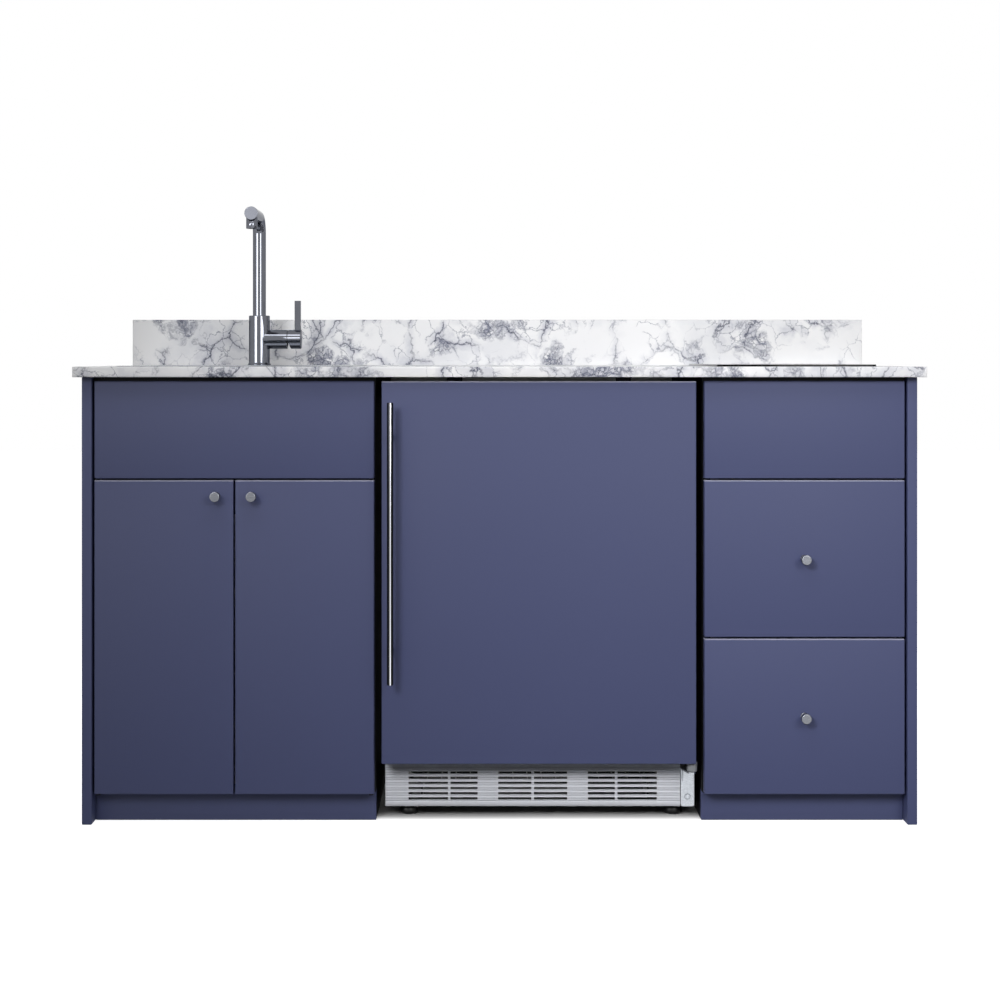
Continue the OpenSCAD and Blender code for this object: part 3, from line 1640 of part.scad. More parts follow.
fridge_door_shell();
fridge_door_liner();
fridge_gasket();
fridge_hinge_bush();
fridge_door_bins();
fridge_handle();
fridge_shelves();
fridge_crisper();
compressor();
condenser();
thermostat_housing();
thermostat_dial();
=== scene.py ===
# %% [markdown]
# # A kitchenette in one worktop's length
#
# The real object is a fitted unit: a sink cabinet, an under-counter refrigerator and a drawer cabinet
# stand side by side under one marble slab. Its exact solids come from the CAD model, so this script
# adds what CAD leaves out: finishes, fine relief, fixings, print and a smooth pressed sink.
#
# Everything is in metres and in the CAD model's own frame. X runs to the right along the front, Y runs
# from the front to the wall, and Z runs up from the floor.

# %% Load the solids and name a few sizes
import json
import math

import bmesh
import bpy
from mathutils import Matrix, Vector

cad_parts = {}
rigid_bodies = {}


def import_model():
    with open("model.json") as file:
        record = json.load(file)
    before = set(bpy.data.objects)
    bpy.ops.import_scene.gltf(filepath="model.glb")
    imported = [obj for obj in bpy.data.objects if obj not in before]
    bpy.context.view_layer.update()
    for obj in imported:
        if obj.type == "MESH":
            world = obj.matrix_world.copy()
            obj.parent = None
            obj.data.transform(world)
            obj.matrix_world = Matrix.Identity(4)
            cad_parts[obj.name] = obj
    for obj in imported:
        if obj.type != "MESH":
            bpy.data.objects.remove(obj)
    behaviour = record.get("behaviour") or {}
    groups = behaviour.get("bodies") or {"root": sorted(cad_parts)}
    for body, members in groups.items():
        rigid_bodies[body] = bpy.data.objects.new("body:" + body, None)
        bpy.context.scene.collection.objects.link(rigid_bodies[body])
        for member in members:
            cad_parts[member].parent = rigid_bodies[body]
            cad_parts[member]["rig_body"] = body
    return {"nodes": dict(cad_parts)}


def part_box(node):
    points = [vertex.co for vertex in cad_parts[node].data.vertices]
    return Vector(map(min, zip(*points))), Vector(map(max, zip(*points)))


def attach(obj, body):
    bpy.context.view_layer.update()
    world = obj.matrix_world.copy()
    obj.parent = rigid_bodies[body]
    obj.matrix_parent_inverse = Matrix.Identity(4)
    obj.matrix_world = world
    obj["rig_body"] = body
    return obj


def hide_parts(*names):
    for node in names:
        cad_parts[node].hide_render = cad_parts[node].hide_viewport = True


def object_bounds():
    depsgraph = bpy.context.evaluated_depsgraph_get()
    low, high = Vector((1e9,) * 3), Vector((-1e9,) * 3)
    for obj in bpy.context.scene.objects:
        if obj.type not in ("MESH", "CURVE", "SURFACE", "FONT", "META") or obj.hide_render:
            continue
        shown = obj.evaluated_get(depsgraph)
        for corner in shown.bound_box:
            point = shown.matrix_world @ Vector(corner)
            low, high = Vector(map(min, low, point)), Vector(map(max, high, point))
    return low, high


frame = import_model()
nodes = frame["nodes"]
cad_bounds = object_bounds()
MM = 0.001
EDGE_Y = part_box("worktop")[0].y
TOP_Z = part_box("worktop")[1].z
print("solids:", len(nodes), "| worktop's edge at Y", round(EDGE_Y, 4), "| its top at Z", round(TOP_Z, 4))

# %% [markdown]
# ## The camera
#
# The picture is taken from straight ahead with the camera's back upright, and its frame is slid down
# and to the right as an architect's shift lens does, so upright edges stay upright. The width seen at
# the worktop's edge and the distance to it give the lens. The slide is how far the point where all
# lines that run to the back meet lies from the middle of the frame.

# %% The camera
PIXELS = 1000
DISTANCE = 3.557
VIEW_WIDTH = 1.9
MEETING_X, MEETING_Y = 483.3, 357.8
CAMERA_X, CAMERA_Z = -0.031, 0.8939
SENSOR = 36

camera_data = bpy.data.cameras.new("studio_camera")
camera_data.sensor_width = SENSOR
camera_data.lens = SENSOR * DISTANCE / VIEW_WIDTH
camera_data.shift_x = (PIXELS / 2 - MEETING_X) / PIXELS
camera_data.shift_y = (MEETING_Y - PIXELS / 2) / PIXELS
camera = bpy.data.objects.new("studio_camera", camera_data)
camera.location = (CAMERA_X, EDGE_Y - DISTANCE, CAMERA_Z)
camera.rotation_euler = (math.radians(90), 0, 0)
bpy.context.scene.collection.objects.link(camera)
bpy.context.scene.camera = camera
print("lens", round(camera_data.lens, 1), "mm")

# %% [markdown]
# ## One helper for nodes
#
# A finish is a small graph of nodes. One function adds a node of any kind, sets its options and fills
# its inputs, so that every finish below reads from the top down like a recipe. An input takes a plain
# value, another node (its first output) or one of that node's sockets. Colours are written as the hex
# values of a paint chart and are turned to the linear values that light works in.
#
# Some sockets share a name and are reached by number. In a Mix node 0 is the share and 6 and 7 are the
# two colours, or 2 and 3 the two numbers. In a Map Range node 0 is the value, 1 and 2 are the range it
# comes from, and 3 and 4 are the range it goes to.

# %% Colours, nodes and finishes
def linear(hex_code):
    """A #rrggbb screen colour as linear red, green, blue and full alpha."""
    parts = [int(hex_code[i : i + 2], 16) / 255 for i in (1, 3, 5)]
    return (*(c / 12.92 if c <= 0.04045 else ((c + 0.055) / 1.055) ** 2.4 for c in parts), 1.0)


def add(tree, kind, inputs=None, **options):
    """Adds one node; inputs maps a socket's name or number to a value, a hex colour, a node or a socket."""
    node = tree.nodes.new(kind)
    for option, value in options.items():
        setattr(node, option, value)
    for socket, value in (inputs or {}).items():
        if isinstance(value, bpy.types.Node):
            value = value.outputs[0]
        if isinstance(value, bpy.types.NodeSocket):
            tree.links.new(value, node.inputs[socket])
        elif isinstance(value, str) and value.startswith("#"):
            node.inputs[socket].default_value = linear(value)
        else:
            node.inputs[socket].default_value = value
    return node


def new_finish(name, **shader_values):
    """A material with one Principled shader: returns it, its tree, its shader and Object coordinates."""
    finish = bpy.data.materials.new(name)
    finish.use_nodes = True
    tree = finish.node_tree
    tree.nodes.clear()
    values = {k.replace("_", " ").title().replace("Ior", "IOR"): v for k, v in shader_values.items()}
    shader = add(tree, "ShaderNodeBsdfPrincipled", values)
    add(tree, "ShaderNodeOutputMaterial", {"Surface": shader})
    return finish, tree, shader, add(tree, "ShaderNodeTexCoord").outputs["Object"]


def dress(finish, *names):
    """Puts a finish on CAD nodes."""
    for name in names:
        for slot in nodes[name].material_slots:
            slot.link = "OBJECT"
            slot.material = finish
    print(finish.name, "on", ", ".join(names))


# %% [markdown]
# ## Eased edges
#
# No made edge is perfectly sharp: a joiner breaks the edge of a board, and a polisher rounds stone and
# metal. The eye reads that from a thin line of light along each edge. A CAD solid has sharp edges and
# is stored as loose triangles, so each piece that the camera sees is copied, its triangles are joined
# to flat faces, and a Bevel modifier rounds what is sharper than forty degrees. Rounding the CAD model
# instead would make every solid heavier for something that is only seen.

# %% A copy with eased edges
def round_over(piece, ease_mm):
    """Rounds a piece's sharp edges by some millimetres and keeps its flat faces flat."""
    rounding = piece.modifiers.new("eased_edges", "BEVEL")
    rounding.width, rounding.segments = ease_mm * MM, 2
    rounding.limit_method, rounding.angle_limit = "ANGLE", math.radians(40)
    rounding.harden_normals = True


def ease(finish, ease_mm, *names):
    """Stands a copy with eased edges in for CAD nodes; ease_mm is the width of the rounding."""
    for name in names:
        node = nodes[name]
        build = bmesh.new()
        build.from_mesh(node.data)
        bmesh.ops.remove_doubles(build, verts=build.verts, dist=0.001 * MM)
        bmesh.ops.dissolve_limit(build, angle_limit=math.radians(0.5), verts=build.verts, edges=build.edges)
        for face in build.faces:
            face.smooth = True
            face.material_index = 0
        for edge in build.edges:
            edge.smooth = edge.calc_face_angle(0) < math.radians(30)
        mesh = bpy.data.meshes.new(f"{name}_eased")
        build.to_mesh(mesh)
        build.free()
        mesh.materials.append(finish)
        piece = bpy.data.objects.new(f"{name}_eased", mesh)
        bpy.context.scene.collection.objects.link(piece)
        round_over(piece, ease_mm)
        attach(piece, node["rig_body"])
        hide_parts(name)
    print(finish.name, "on", len(names), "eased pieces")


# %% [markdown]
# ## Satin lacquer on board
#
# The fronts and end panels are fibreboard sprayed with a slate-blue satin lacquer. Sprayed lacquer is
# never quite flat: it dries with an orange peel a couple of millimetres across and a few thousandths of
# a millimetre deep, which softens what it mirrors. A very wide noise shifts the tone by a percent or
# two, as the eye sees on any large sprayed panel. The photograph shows a thin pale line along the top
# edge of each front that hangs by itself, most likely light on the rounded edge. Here it is painted into
# the finish, which is a shortcut: it stays under any other light, where a reflection would move.

# %% Satin lacquer
FIXED_BOARDS = ("end_panel_left", "end_panel_right", "toe_kicks", "sink_false_front", "drawer_false_front")
HUNG_FRONTS = (
    *("sink_door_left", "sink_door_right", "drawer_upper_front", "drawer_lower_front"),
    "fridge_door_panel",
)
# The pale line is 2 mm high and reaches just past the edge, so that the rounding carries it too.
EDGE_LINE, PAST = 2.0 * MM, 0.1 * MM
satin_lacquer, tree, shader, place = new_finish("satin_lacquer", ior=1.45, specular_ior_level=0.3)
tone = add(tree, "ShaderNodeTexNoise", {"Vector": place, "Scale": 2.2, "Detail": 2.0})
colour = add(tree, "ShaderNodeMix", {0: tone, 6: "#3e4467", 7: "#43496d"}, data_type="RGBA").outputs[2]
axes = add(tree, "ShaderNodeSeparateXYZ", {0: place})
for front in HUNG_FRONTS:
    a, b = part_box(front)
    on_top = add(
        tree,
        "ShaderNodeMath",
        {0: axes.outputs["Z"], 1: b.z - EDGE_LINE / 2 + PAST, 2: EDGE_LINE / 2 + PAST},
        operation="COMPARE",
    )
    on_front = add(
        tree,
        "ShaderNodeMath",
        {0: axes.outputs["X"], 1: (a.x + b.x) / 2, 2: (b.x - a.x) / 2 + 1 * MM},
        operation="COMPARE",
    )
    pale = add(tree, "ShaderNodeMath", {0: on_top, 1: on_front}, operation="MULTIPLY")
    colour = add(tree, "ShaderNodeMix", {0: pale, 6: colour, 7: "#8f91a6"}, data_type="RGBA").outputs[2]
tree.links.new(colour, shader.inputs["Base Color"])
sheen = add(tree, "ShaderNodeMapRange", {0: tone, 1: 0.3, 2: 0.7, 3: 0.54, 4: 0.60})
tree.links.new(sheen.outputs[0], shader.inputs["Roughness"])
# The real peel is about 1.6 mm across; it is drawn at that size, so it only shows close up.
peel = add(tree, "ShaderNodeTexNoise", {"Vector": place, "Scale": 1 / (1.6 * MM), "Detail": 1.0})
bump = add(tree, "ShaderNodeBump", {"Height": peel, "Distance": 0.004 * MM, "Strength": 1.0})
tree.links.new(bump.outputs[0], shader.inputs["Normal"])
ease(satin_lacquer, 1.5, *FIXED_BOARDS, *HUNG_FRONTS)

# %% [markdown]
# ## Polished marble
#
# White marble is limestone that was pressed and heated until its layers broke and healed again. The
# healed cracks are the veins. They form a net, so the edges between the cells of a cell pattern are the
# right start, and a noise bends them until no line stays straight. Real veins come in clusters with
# clear stone between them, so slow noises fade each net in and out. Around the main veins the stone is
# stained a soft grey, and inside the clusters a much finer net of broken crystals shows.

# %% Polished marble
marble, tree, shader, place = new_finish(
    "polished_marble", roughness=0.2, ior=1.5, specular_ior_level=0.06
)
wander = add(
    tree, "ShaderNodeTexNoise", {"Vector": place, "Scale": 9.0, "Detail": 8.0, "Roughness": 0.62}
)
push = add(
    tree, "ShaderNodeVectorMath", {0: wander.outputs["Color"], 1: (0.5, 0.5, 0.5)}, operation="SUBTRACT"
)
# The noise moves a point by up to about 50 mm, half the width of a main cell.
push = add(tree, "ShaderNodeVectorMath", {0: push, 3: 0.11}, operation="SCALE")
bent = add(tree, "ShaderNodeVectorMath", {0: place, 1: push}, operation="ADD")
fades = []
for per_metre, start, end in ((11.0, 0.57, 0.67), (14.0, 0.42, 0.58), (6.0, 0.46, 0.68)):
    noise = add(tree, "ShaderNodeTexNoise", {"Vector": bent, "Scale": per_metre, "Detail": 3.0})
    fades.append(add(tree, "ShaderNodeMapRange", {0: noise, 1: start, 2: end, 3: 0.0, 4: 1.0}))
knots, broken, stain = fades
stone = add(tree, "ShaderNodeMix", {0: stain, 6: "#f3f3f4", 7: "#e0e1e5"}, data_type="RGBA").outputs[2]
# Each row is one net: cells per metre, half width of a line in cells, colour, and what fades it.
for per_metre, width, colour, fade in (
    (10.0, 0.16, "#cccdd5", broken),
    (46.0, 0.36, "#a5a7b4", knots),
    (95.0, 0.14, "#5c6174", knots),
    (26.0, 0.034, "#8c8f9d", broken),
    (10.0, 0.024, "#4f5365", broken),
):
    net = add(
        tree, "ShaderNodeTexVoronoi", {"Vector": bent, "Scale": per_metre}, feature="DISTANCE_TO_EDGE"
    )
    line = add(tree, "ShaderNodeMapRange", {0: net, 1: 0.0, 2: width, 3: 1.0, 4: 0.0})
    shown = add(tree, "ShaderNodeMath", {0: line, 1: fade}, operation="MULTIPLY")
    stone = add(tree, "ShaderNodeMix", {0: shown, 6: stone, 7: colour}, data_type="RGBA").outputs[2]
tree.links.new(stone, shader.inputs["Base Color"])
ease(marble, 1.0, "worktop", "backsplash")

# %% [markdown]
# ## Chrome and brushed metals
#
# Chrome copies the polished metal under it, so it has no grain, only faint smudges that change how
# sharp its mirror is. This room is white all round and would make chrome look paler than in the
# photograph, so its tint is set darker than real chrome's, as the nickel's is. Brushed metal gets its
# look from thousands of scratches that all run one way. A noise that is fine across the brushing and long
# along it gives them, and it shifts the tone and the roughness a little. The scratches are far finer than
# a picture point, so they are drawn about half a millimetre apart, and no relief is pressed in, which
# would only flicker.

# %% Chrome and brushed metals
chrome, tree, shader, place = new_finish("polished_chrome", metallic=1.0, specular_tint="#b4b6bc")
smudge = add(tree, "ShaderNodeTexNoise", {"Vector": place, "Scale": 1 / (35 * MM), "Detail": 3.0})
tint = add(tree, "ShaderNodeMix", {0: smudge, 6: "#606269", 7: "#6d6f76"}, data_type="RGBA")
tree.links.new(tint.outputs[2], shader.inputs["Base Color"])
mirror = add(tree, "ShaderNodeMapRange", {0: smudge, 1: 0.3, 2: 0.7, 3: 0.05, 4: 0.12})
tree.links.new(mirror.outputs[0], shader.inputs["Roughness"])
ease(chrome, 0.5, "tap_body", "mixer_lever")


def brushed(name, dark, light, grain_mm, roughness):
    """A brushed metal; grain_mm is the length of its grain along X, Y and Z."""
    finish, tree, shader, place = new_finish(name, metallic=1.0)
    scale = [1 / (g * MM) for g in grain_mm]
    along = add(tree, "ShaderNodeMapping", {"Vector": place, "Scale": scale})
    grain = add(tree, "ShaderNodeTexNoise", {"Vector": along, "Scale": 1.0, "Detail": 3.0})
    tint = add(tree, "ShaderNodeMix", {0: grain, 6: dark, 7: light}, data_type="RGBA")
    tree.links.new(tint.outputs[2], shader.inputs["Base Color"])
    soft = add(
        tree, "ShaderNodeMapRange", {0: grain, 1: 0.3, 2: 0.7, 3: roughness - 0.05, 4: roughness + 0.05}
    )
    tree.links.new(soft.outputs[0], shader.inputs["Roughness"])
    return finish


knob_nickel = brushed("brushed_nickel_plate", "#66686e", "#75777d", (14, 14, 0.6), 0.26)
stainless = brushed("brushed_stainless_sheet", "#979a9f", "#b9bcc0", (35, 0.6, 0.6), 0.27)
brass = brushed("drawn_brass_tube", "#a9843f", "#c8a45e", (2, 2, 30), 0.28)
copper = brushed("drawn_copper_tube", "#a8664a", "#c98766", (6, 30, 6), 0.3)
ease(knob_nickel, 0.6, "sink_door_left_knob", "sink_door_right_knob")
ease(knob_nickel, 0.6, "drawer_upper_knob", "drawer_lower_knob")
dress(stainless, "sink_bowl", "strainer_body", "strainer_basket")
dress(brass, "tap_shank")

# %% [markdown]
# ## The bar handle
#
# The refrigerator's handle is a round metal bar. Its near-black colour is a painted dark reflection: it
# stands in for the dark room that the polished bar mirrors. The one bright line down its front is a painted
# highlight, the reflection of a lamp, so it stays under other light.
# It is found by its distance from the bar's axis in X, on the half that faces the room, and it fades
# out over a third of a millimetre.

# %% The bar handle
painted_bar, tree, shader, place = new_finish("bar_painted_dark_with_highlight", metallic=1.0, specular_tint="#8c8d92")
bar_a, bar_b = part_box("fridge_handle")
BAR_X, BAR_Y = (bar_a.x + bar_b.x) / 2, bar_a.y + (bar_b.x - bar_a.x) / 2
LINE_X, LINE_HALF, LINE_FADE = BAR_X + 0.6 * MM, 0.8 * MM, 0.3 * MM
scale = [1 / (grain_mm * MM) for grain_mm in (4, 4, 60)]
along = add(tree, "ShaderNodeMapping", {"Vector": place, "Scale": scale})
grain = add(tree, "ShaderNodeTexNoise", {"Vector": along, "Scale": 1.0, "Detail": 3.0})
# Near black is a painted dark reflection, and the pale line over it is a painted highlight.
painted_dark = add(tree, "ShaderNodeMix", {0: grain, 6: "#1d1e21", 7: "#28292d"}, data_type="RGBA")
painted_highlight = add(tree, "ShaderNodeMix", {0: grain, 6: "#e4e5e8", 7: "#f2f2f4"}, data_type="RGBA")
axes = add(tree, "ShaderNodeSeparateXYZ", {0: place})
off = add(tree, "ShaderNodeMath", {0: axes.outputs["X"], 1: LINE_X}, operation="SUBTRACT")
off = add(tree, "ShaderNodeMath", {0: off}, operation="ABSOLUTE")
on_line = add(
    tree, "ShaderNodeMapRange", {0: off, 1: LINE_HALF, 2: LINE_HALF + LINE_FADE, 3: 1.0, 4: 0.0}
)
in_front = add(tree, "ShaderNodeMath", {0: axes.outputs["Y"], 1: BAR_Y}, operation="LESS_THAN")
on_line = add(tree, "ShaderNodeMath", {0: on_line, 1: in_front}, operation="MULTIPLY")
tint = add(tree, "ShaderNodeMix", {0: on_line, 6: painted_dark.outputs[2], 7: painted_highlight.outputs[2]}, data_type="RGBA")
tree.links.new(tint.outputs[2], shader.inputs["Base Color"])
soft = add(tree, "ShaderNodeMapRange", {0: grain, 1: 0.3, 2: 0.7, 3: 0.10, 4: 0.18})
tree.links.new(soft.outputs[0], shader.inputs["Roughness"])
ease(painted_bar, 0.6, "fridge_handle")

# %% [markdown]
# ## Zinc on steel
#
# Hinges, runners and the hob's tray are steel with a coat of zinc. Zinc sets as crystals, which the eye
# sees as a faint patchwork of flat cells, each a little lighter or darker than the next. Plated
# fittings have cells under a millimetre, and hot-dipped sheet has cells of about ten. A cell pattern's
# own colour gives each cell one even tone.

# %% Zinc on steel
def zinc_coat(name, dark, light, cell_mm, roughness):
    """A zinc coat whose crystals have a real size in millimetres."""
    finish, tree, shader, place = new_finish(name, metallic=1.0)
    cells = add(tree, "ShaderNodeTexVoronoi", {"Vector": place, "Scale": 1 / (cell_mm * MM)})
    tone = add(tree, "ShaderNodeSeparateXYZ", {0: cells.outputs["Color"]})
    tint = add(tree, "ShaderNodeMix", {0: tone, 6: dark, 7: light}, data_type="RGBA")
    tree.links.new(tint.outputs[2], shader.inputs["Base Color"])
    soft = add(tree, "ShaderNodeMapRange", {0: tone, 3: roughness - 0.06, 4: roughness + 0.06})
    tree.links.new(soft.outputs[0], shader.inputs["Roughness"])
    return finish


zinc = zinc_coat("bright_zinc_plate", "#8e9297", "#b4b8bd", 0.9, 0.34)
black_zinc = zinc_coat("black_passivated_zinc", "#0e0f11", "#18191c", 0.9, 0.42)
sheet_steel = zinc_coat("hot_dipped_sheet", "#84888d", "#a5a9ad", 10, 0.42)
dress(sheet_steel, "hob_case")
dress(black_zinc, "door_pivot_leaves", "fridge_top_brackets")
dress(
    zinc,
    *("false_front_clips", "runner_cabinet_members", "runner_middle_upper"),
    *("runner_middle_lower", "drawer_upper_runners", "drawer_lower_runners"),
    "fridge_hinge_lower",
)

# %% [markdown]
# ## Moulded plastics
#
# Moulded plastic copies its mould. A spark-eroded mould leaves a fine leathery grain of about a
# millimetre, and a polished mould leaves gloss with a slow waviness. One function makes both, because
# only the grain's size, its depth and the roughness tell them apart. Each name says which plastic it is
# and how its surface was made.

# %% Plastics and rubber
def moulded(name, dark, light, grain_mm, depth_mm, roughness):
    """A moulded plastic whose grain has a real size and depth in millimetres."""
    finish, tree, shader, place = new_finish(name, roughness=roughness, ior=1.46, specular_ior_level=0.3)
    tone = add(tree, "ShaderNodeTexNoise", {"Vector": place, "Scale": 9.0, "Detail": 1.0})
    tint = add(tree, "ShaderNodeMix", {0: tone, 6: dark, 7: light}, data_type="RGBA")
    tree.links.new(tint.outputs[2], shader.inputs["Base Color"])
    grain = add(tree, "ShaderNodeTexNoise", {"Vector": place, "Scale": 1 / (grain_mm * MM), "Detail": 2.0})
    bump = add(tree, "ShaderNodeBump", {"Height": grain, "Distance": depth_mm * MM, "Strength": 1.0})
    tree.links.new(bump.outputs[0], shader.inputs["Normal"])
    return finish


white_liner = moulded("vacuum_formed_styrene", "#e6e7e7", "#eeeeed", 7.0, 0.006, 0.3)
cabinet_grey = moulded("pebbled_coated_steel", "#b4b6bb", "#bec0c4", 1.6, 0.02, 0.42)
black_plastic = moulded("black_polypropylene", "#0b0b0d", "#151517", 0.8, 0.008, 0.34)
bush_plastic = moulded("grey_acetal", "#7d8084", "#8b8e92", 0.7, 0.006, 0.4)
trap_plastic = moulded("white_polypropylene", "#dededb", "#e9e9e5", 2.0, 0.004, 0.35)
carrier_plastic = moulded("ivory_acetal", "#d8d1bf", "#e3ddcd", 1.5, 0.003, 0.4)
seal_rubber = moulded("soft_vinyl_seal", "#9fa1a3", "#acaeb0", 0.6, 0.005, 0.6)
buffer_gel = moulded("clear_buffer_gel", "#cfd2d3", "#dde0e0", 0.5, 0.003, 0.3)
sealant = moulded("anthracite_silicone", "#26272a", "#323337", 3.0, 0.01, 0.35)
pale_sealant = moulded("marble_grey_silicone", "#c9cacd", "#d3d4d6", 3.0, 0.01, 0.35)
mineral = moulded("pressed_mineral_board", "#bdb6a6", "#d0cabb", 1.2, 0.12, 0.9)
dress(white_liner, "fridge_liner", "fridge_door_liner", "thermostat_housing", "thermostat_dial")
dress(cabinet_grey, "fridge_door_shell")
ease(black_plastic, 0.6, "fridge_feet")
ease(bush_plastic, 0.4, "fridge_hinge_bush")
dress(trap_plastic, "waste_trap")
dress(carrier_plastic, "mixer_carrier")
dress(seal_rubber, "fridge_gasket")
dress(mineral, "hob_elements")

# %% [markdown]
# ## The refrigerator's cabinet
#
# The cabinet is folded from the same coated steel as the door's shell. Its lowest part, the machine bay
# behind the kick grille, is painted near black as painted shade, so that the slots look dark and nothing in
# there shows through them.

# %% The refrigerator's cabinet
cabinet_steel, tree, shader, place = new_finish(
    "coated_steel_painted_shade_bay", roughness=0.45, ior=1.46, specular_ior_level=0.2
)
BAY_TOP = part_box("kick_grille")[1].z + 12 * MM
grain = add(tree, "ShaderNodeTexNoise", {"Vector": place, "Scale": 1 / (1.6 * MM), "Detail": 2.0})
grey = add(tree, "ShaderNodeMix", {0: grain, 6: "#b4b6bb", 7: "#bec0c4"}, data_type="RGBA")
# Below BAY_TOP the steel is painted near black, as painted shade in the machine bay.
painted_dark = add(tree, "ShaderNodeMix", {0: grain, 6: "#040405", 7: "#08080a"}, data_type="RGBA")
height = add(tree, "ShaderNodeSeparateXYZ", {0: place}).outputs["Z"]
above = add(tree, "ShaderNodeMath", {0: height, 1: BAY_TOP}, operation="GREATER_THAN")
tint = add(tree, "ShaderNodeMix", {0: above, 6: painted_dark.outputs[2], 7: grey.outputs[2]}, data_type="RGBA")
tree.links.new(tint.outputs[2], shader.inputs["Base Color"])
bump = add(tree, "ShaderNodeBump", {"Height": grain, "Distance": 0.02 * MM, "Strength": 1.0})
tree.links.new(bump.outputs[0], shader.inputs["Normal"])
dress(cabinet_steel, "fridge_cabinet")

# %% [markdown]
# ## The kick grille's slats
#
# The grille in front of the compressor is one grey moulding. Its slats step back row by row, and each step
# runs on between the groups of slots as a fine line. The solid has the slots, and the finish adds those
# lines: the height above the first slot is cut into rows of ten millimetres, and where each row starts a
# thin line is pressed in as the step itself and darkened as painted shade, the shadow under that step.

# %% The kick grille
grille_grey, tree, shader, place = new_finish(
    "grained_abs_grille", roughness=0.5, ior=1.5, specular_ior_level=0.12
)
SLOT_START, ROW, ROWS = 39 * MM, 10 * MM, 6
height = add(tree, "ShaderNodeSeparateXYZ", {0: place}).outputs["Z"]
rows = add(tree, "ShaderNodeMath", {0: height, 1: SLOT_START}, operation="SUBTRACT")
rows = add(tree, "ShaderNodeMath", {0: rows, 1: ROW}, operation="DIVIDE")
part = add(tree, "ShaderNodeMath", {0: rows}, operation="FRACT")
line = add(tree, "ShaderNodeMapRange", {0: part, 1: 0.0, 2: 0.12, 3: 1.0, 4: 0.0})
inside_rows = add(tree, "ShaderNodeMath", {0: rows, 1: ROWS / 2, 2: ROWS / 2 + 0.2}, operation="COMPARE")
line = add(tree, "ShaderNodeMath", {0: line, 1: inside_rows}, operation="MULTIPLY")
tone = add(tree, "ShaderNodeTexNoise", {"Vector": place, "Scale": 9.0})
tint = add(tree, "ShaderNodeMix", {0: tone, 6: "#d6d8e0", 7: "#dfe1e8"}, data_type="RGBA")
# The line's darker colour is painted shade under each step; its bump is the step itself.
tint = add(tree, "ShaderNodeMix", {0: line, 6: tint.outputs[2], 7: "#8e9099"}, data_type="RGBA")
tree.links.new(tint.outputs[2], shader.inputs["Base Color"])
step = add(tree, "ShaderNodeBump", {"Height": line, "Distance": 0.15 * MM, "Strength": 1.0}, invert=True)
tree.links.new(step.outputs[0], shader.inputs["Normal"])
dress(grille_grey, "kick_grille")

# %% [markdown]
# ## Glass, clear trays and enamel
#
# The hob is a glass ceramic: black all through and polished to a mirror, with rare pale specks that
# hide scratches. The shelves are float glass, slightly green, and the trays are clear styrene. The
# compressor and its condenser are dipped in black enamel, which sags a little before it sets.

# %% Glass, trays and enamel
hob_black, tree, shader, place = new_finish(
    "black_glass_ceramic", roughness=0.06, ior=1.53, specular_ior_level=0.1
)
# The specks are about 1 mm across, one in every few square centimetres.
specks = add(tree, "ShaderNodeTexVoronoi", {"Vector": place, "Scale": 1 / (9 * MM)})
spot = add(tree, "ShaderNodeMapRange", {0: specks, 1: 0.04, 2: 0.08, 3: 0.6, 4: 0.0})
tint = add(tree, "ShaderNodeMix", {0: spot, 6: "#08080a", 7: "#77777e"}, data_type="RGBA")
tree.links.new(tint.outputs[2], shader.inputs["Base Color"])
ease(hob_black, 0.8, "hob_glass")


def see_through(name, dark, light, roughness, ior, clear):
    """A clear glass or plastic; clear is the share of light that it lets through."""
    finish, tree, shader, place = new_finish(
        name, roughness=roughness, ior=ior, transmission_weight=clear
    )
    tone = add(tree, "ShaderNodeTexNoise", {"Vector": place, "Scale": 8.0})
    tint = add(tree, "ShaderNodeMix", {0: tone, 6: dark, 7: light}, data_type="RGBA")
    tree.links.new(tint.outputs[2], shader.inputs["Base Color"])
    return finish


float_glass = see_through("float_glass", "#d3e6dc", "#e0eee7", 0.02, 1.52, 0.9)
clear_styrene = see_through("clear_styrene", "#d6e0e6", "#e4ebee", 0.1, 1.5, 0.75)
dress(float_glass, "fridge_shelves")
dress(clear_styrene, "fridge_door_bins", "fridge_crisper")

enamel, tree, shader, place = new_finish("black_dip_enamel", roughness=0.3, ior=1.5)
along = add(tree, "ShaderNodeMapping", {"Vector": place, "Scale": (60, 60, 18)})
sag = add(tree, "ShaderNodeTexNoise", {"Vector": along, "Scale": 1.0})
tint = add(tree, "ShaderNodeMix", {0: sag, 6: "#09090a", 7: "#19191c"}, data_type="RGBA")
tree.links.new(tint.outputs[2], shader.inputs["Base Color"])
bump = add(tree, "ShaderNodeBump", {"Height": sag, "Distance": 0.08 * MM, "Strength": 1.0})
tree.links.new(bump.outputs[0], shader.inputs["Normal"])
dress(enamel, "compressor", "condenser")

# %% [markdown]
# ## Melamine board with painted shade on its front edges
#
# The carcass is chipboard with a white melamine face, which is printed paper pressed against a plate with
# fine pores. Where the eye can reach it from the front it is painted near black as painted shade: on every
# front edge, and on the two sides that face the refrigerator. That is why the gaps between the fronts look
# black. The distance from the front and the two niche planes pick those places out.

# %% Melamine with painted shade on its front edges
melamine, tree, shader, place = new_finish(
    "melamine_painted_shade_edges", roughness=0.55, ior=1.5, specular_ior_level=0.1
)
CARCASS_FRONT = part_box("sink_cabinet_sides")[0].y
NICHE_PLANES = (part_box("sink_cabinet_sides")[1].x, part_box("drawer_cabinet_sides")[0].x)
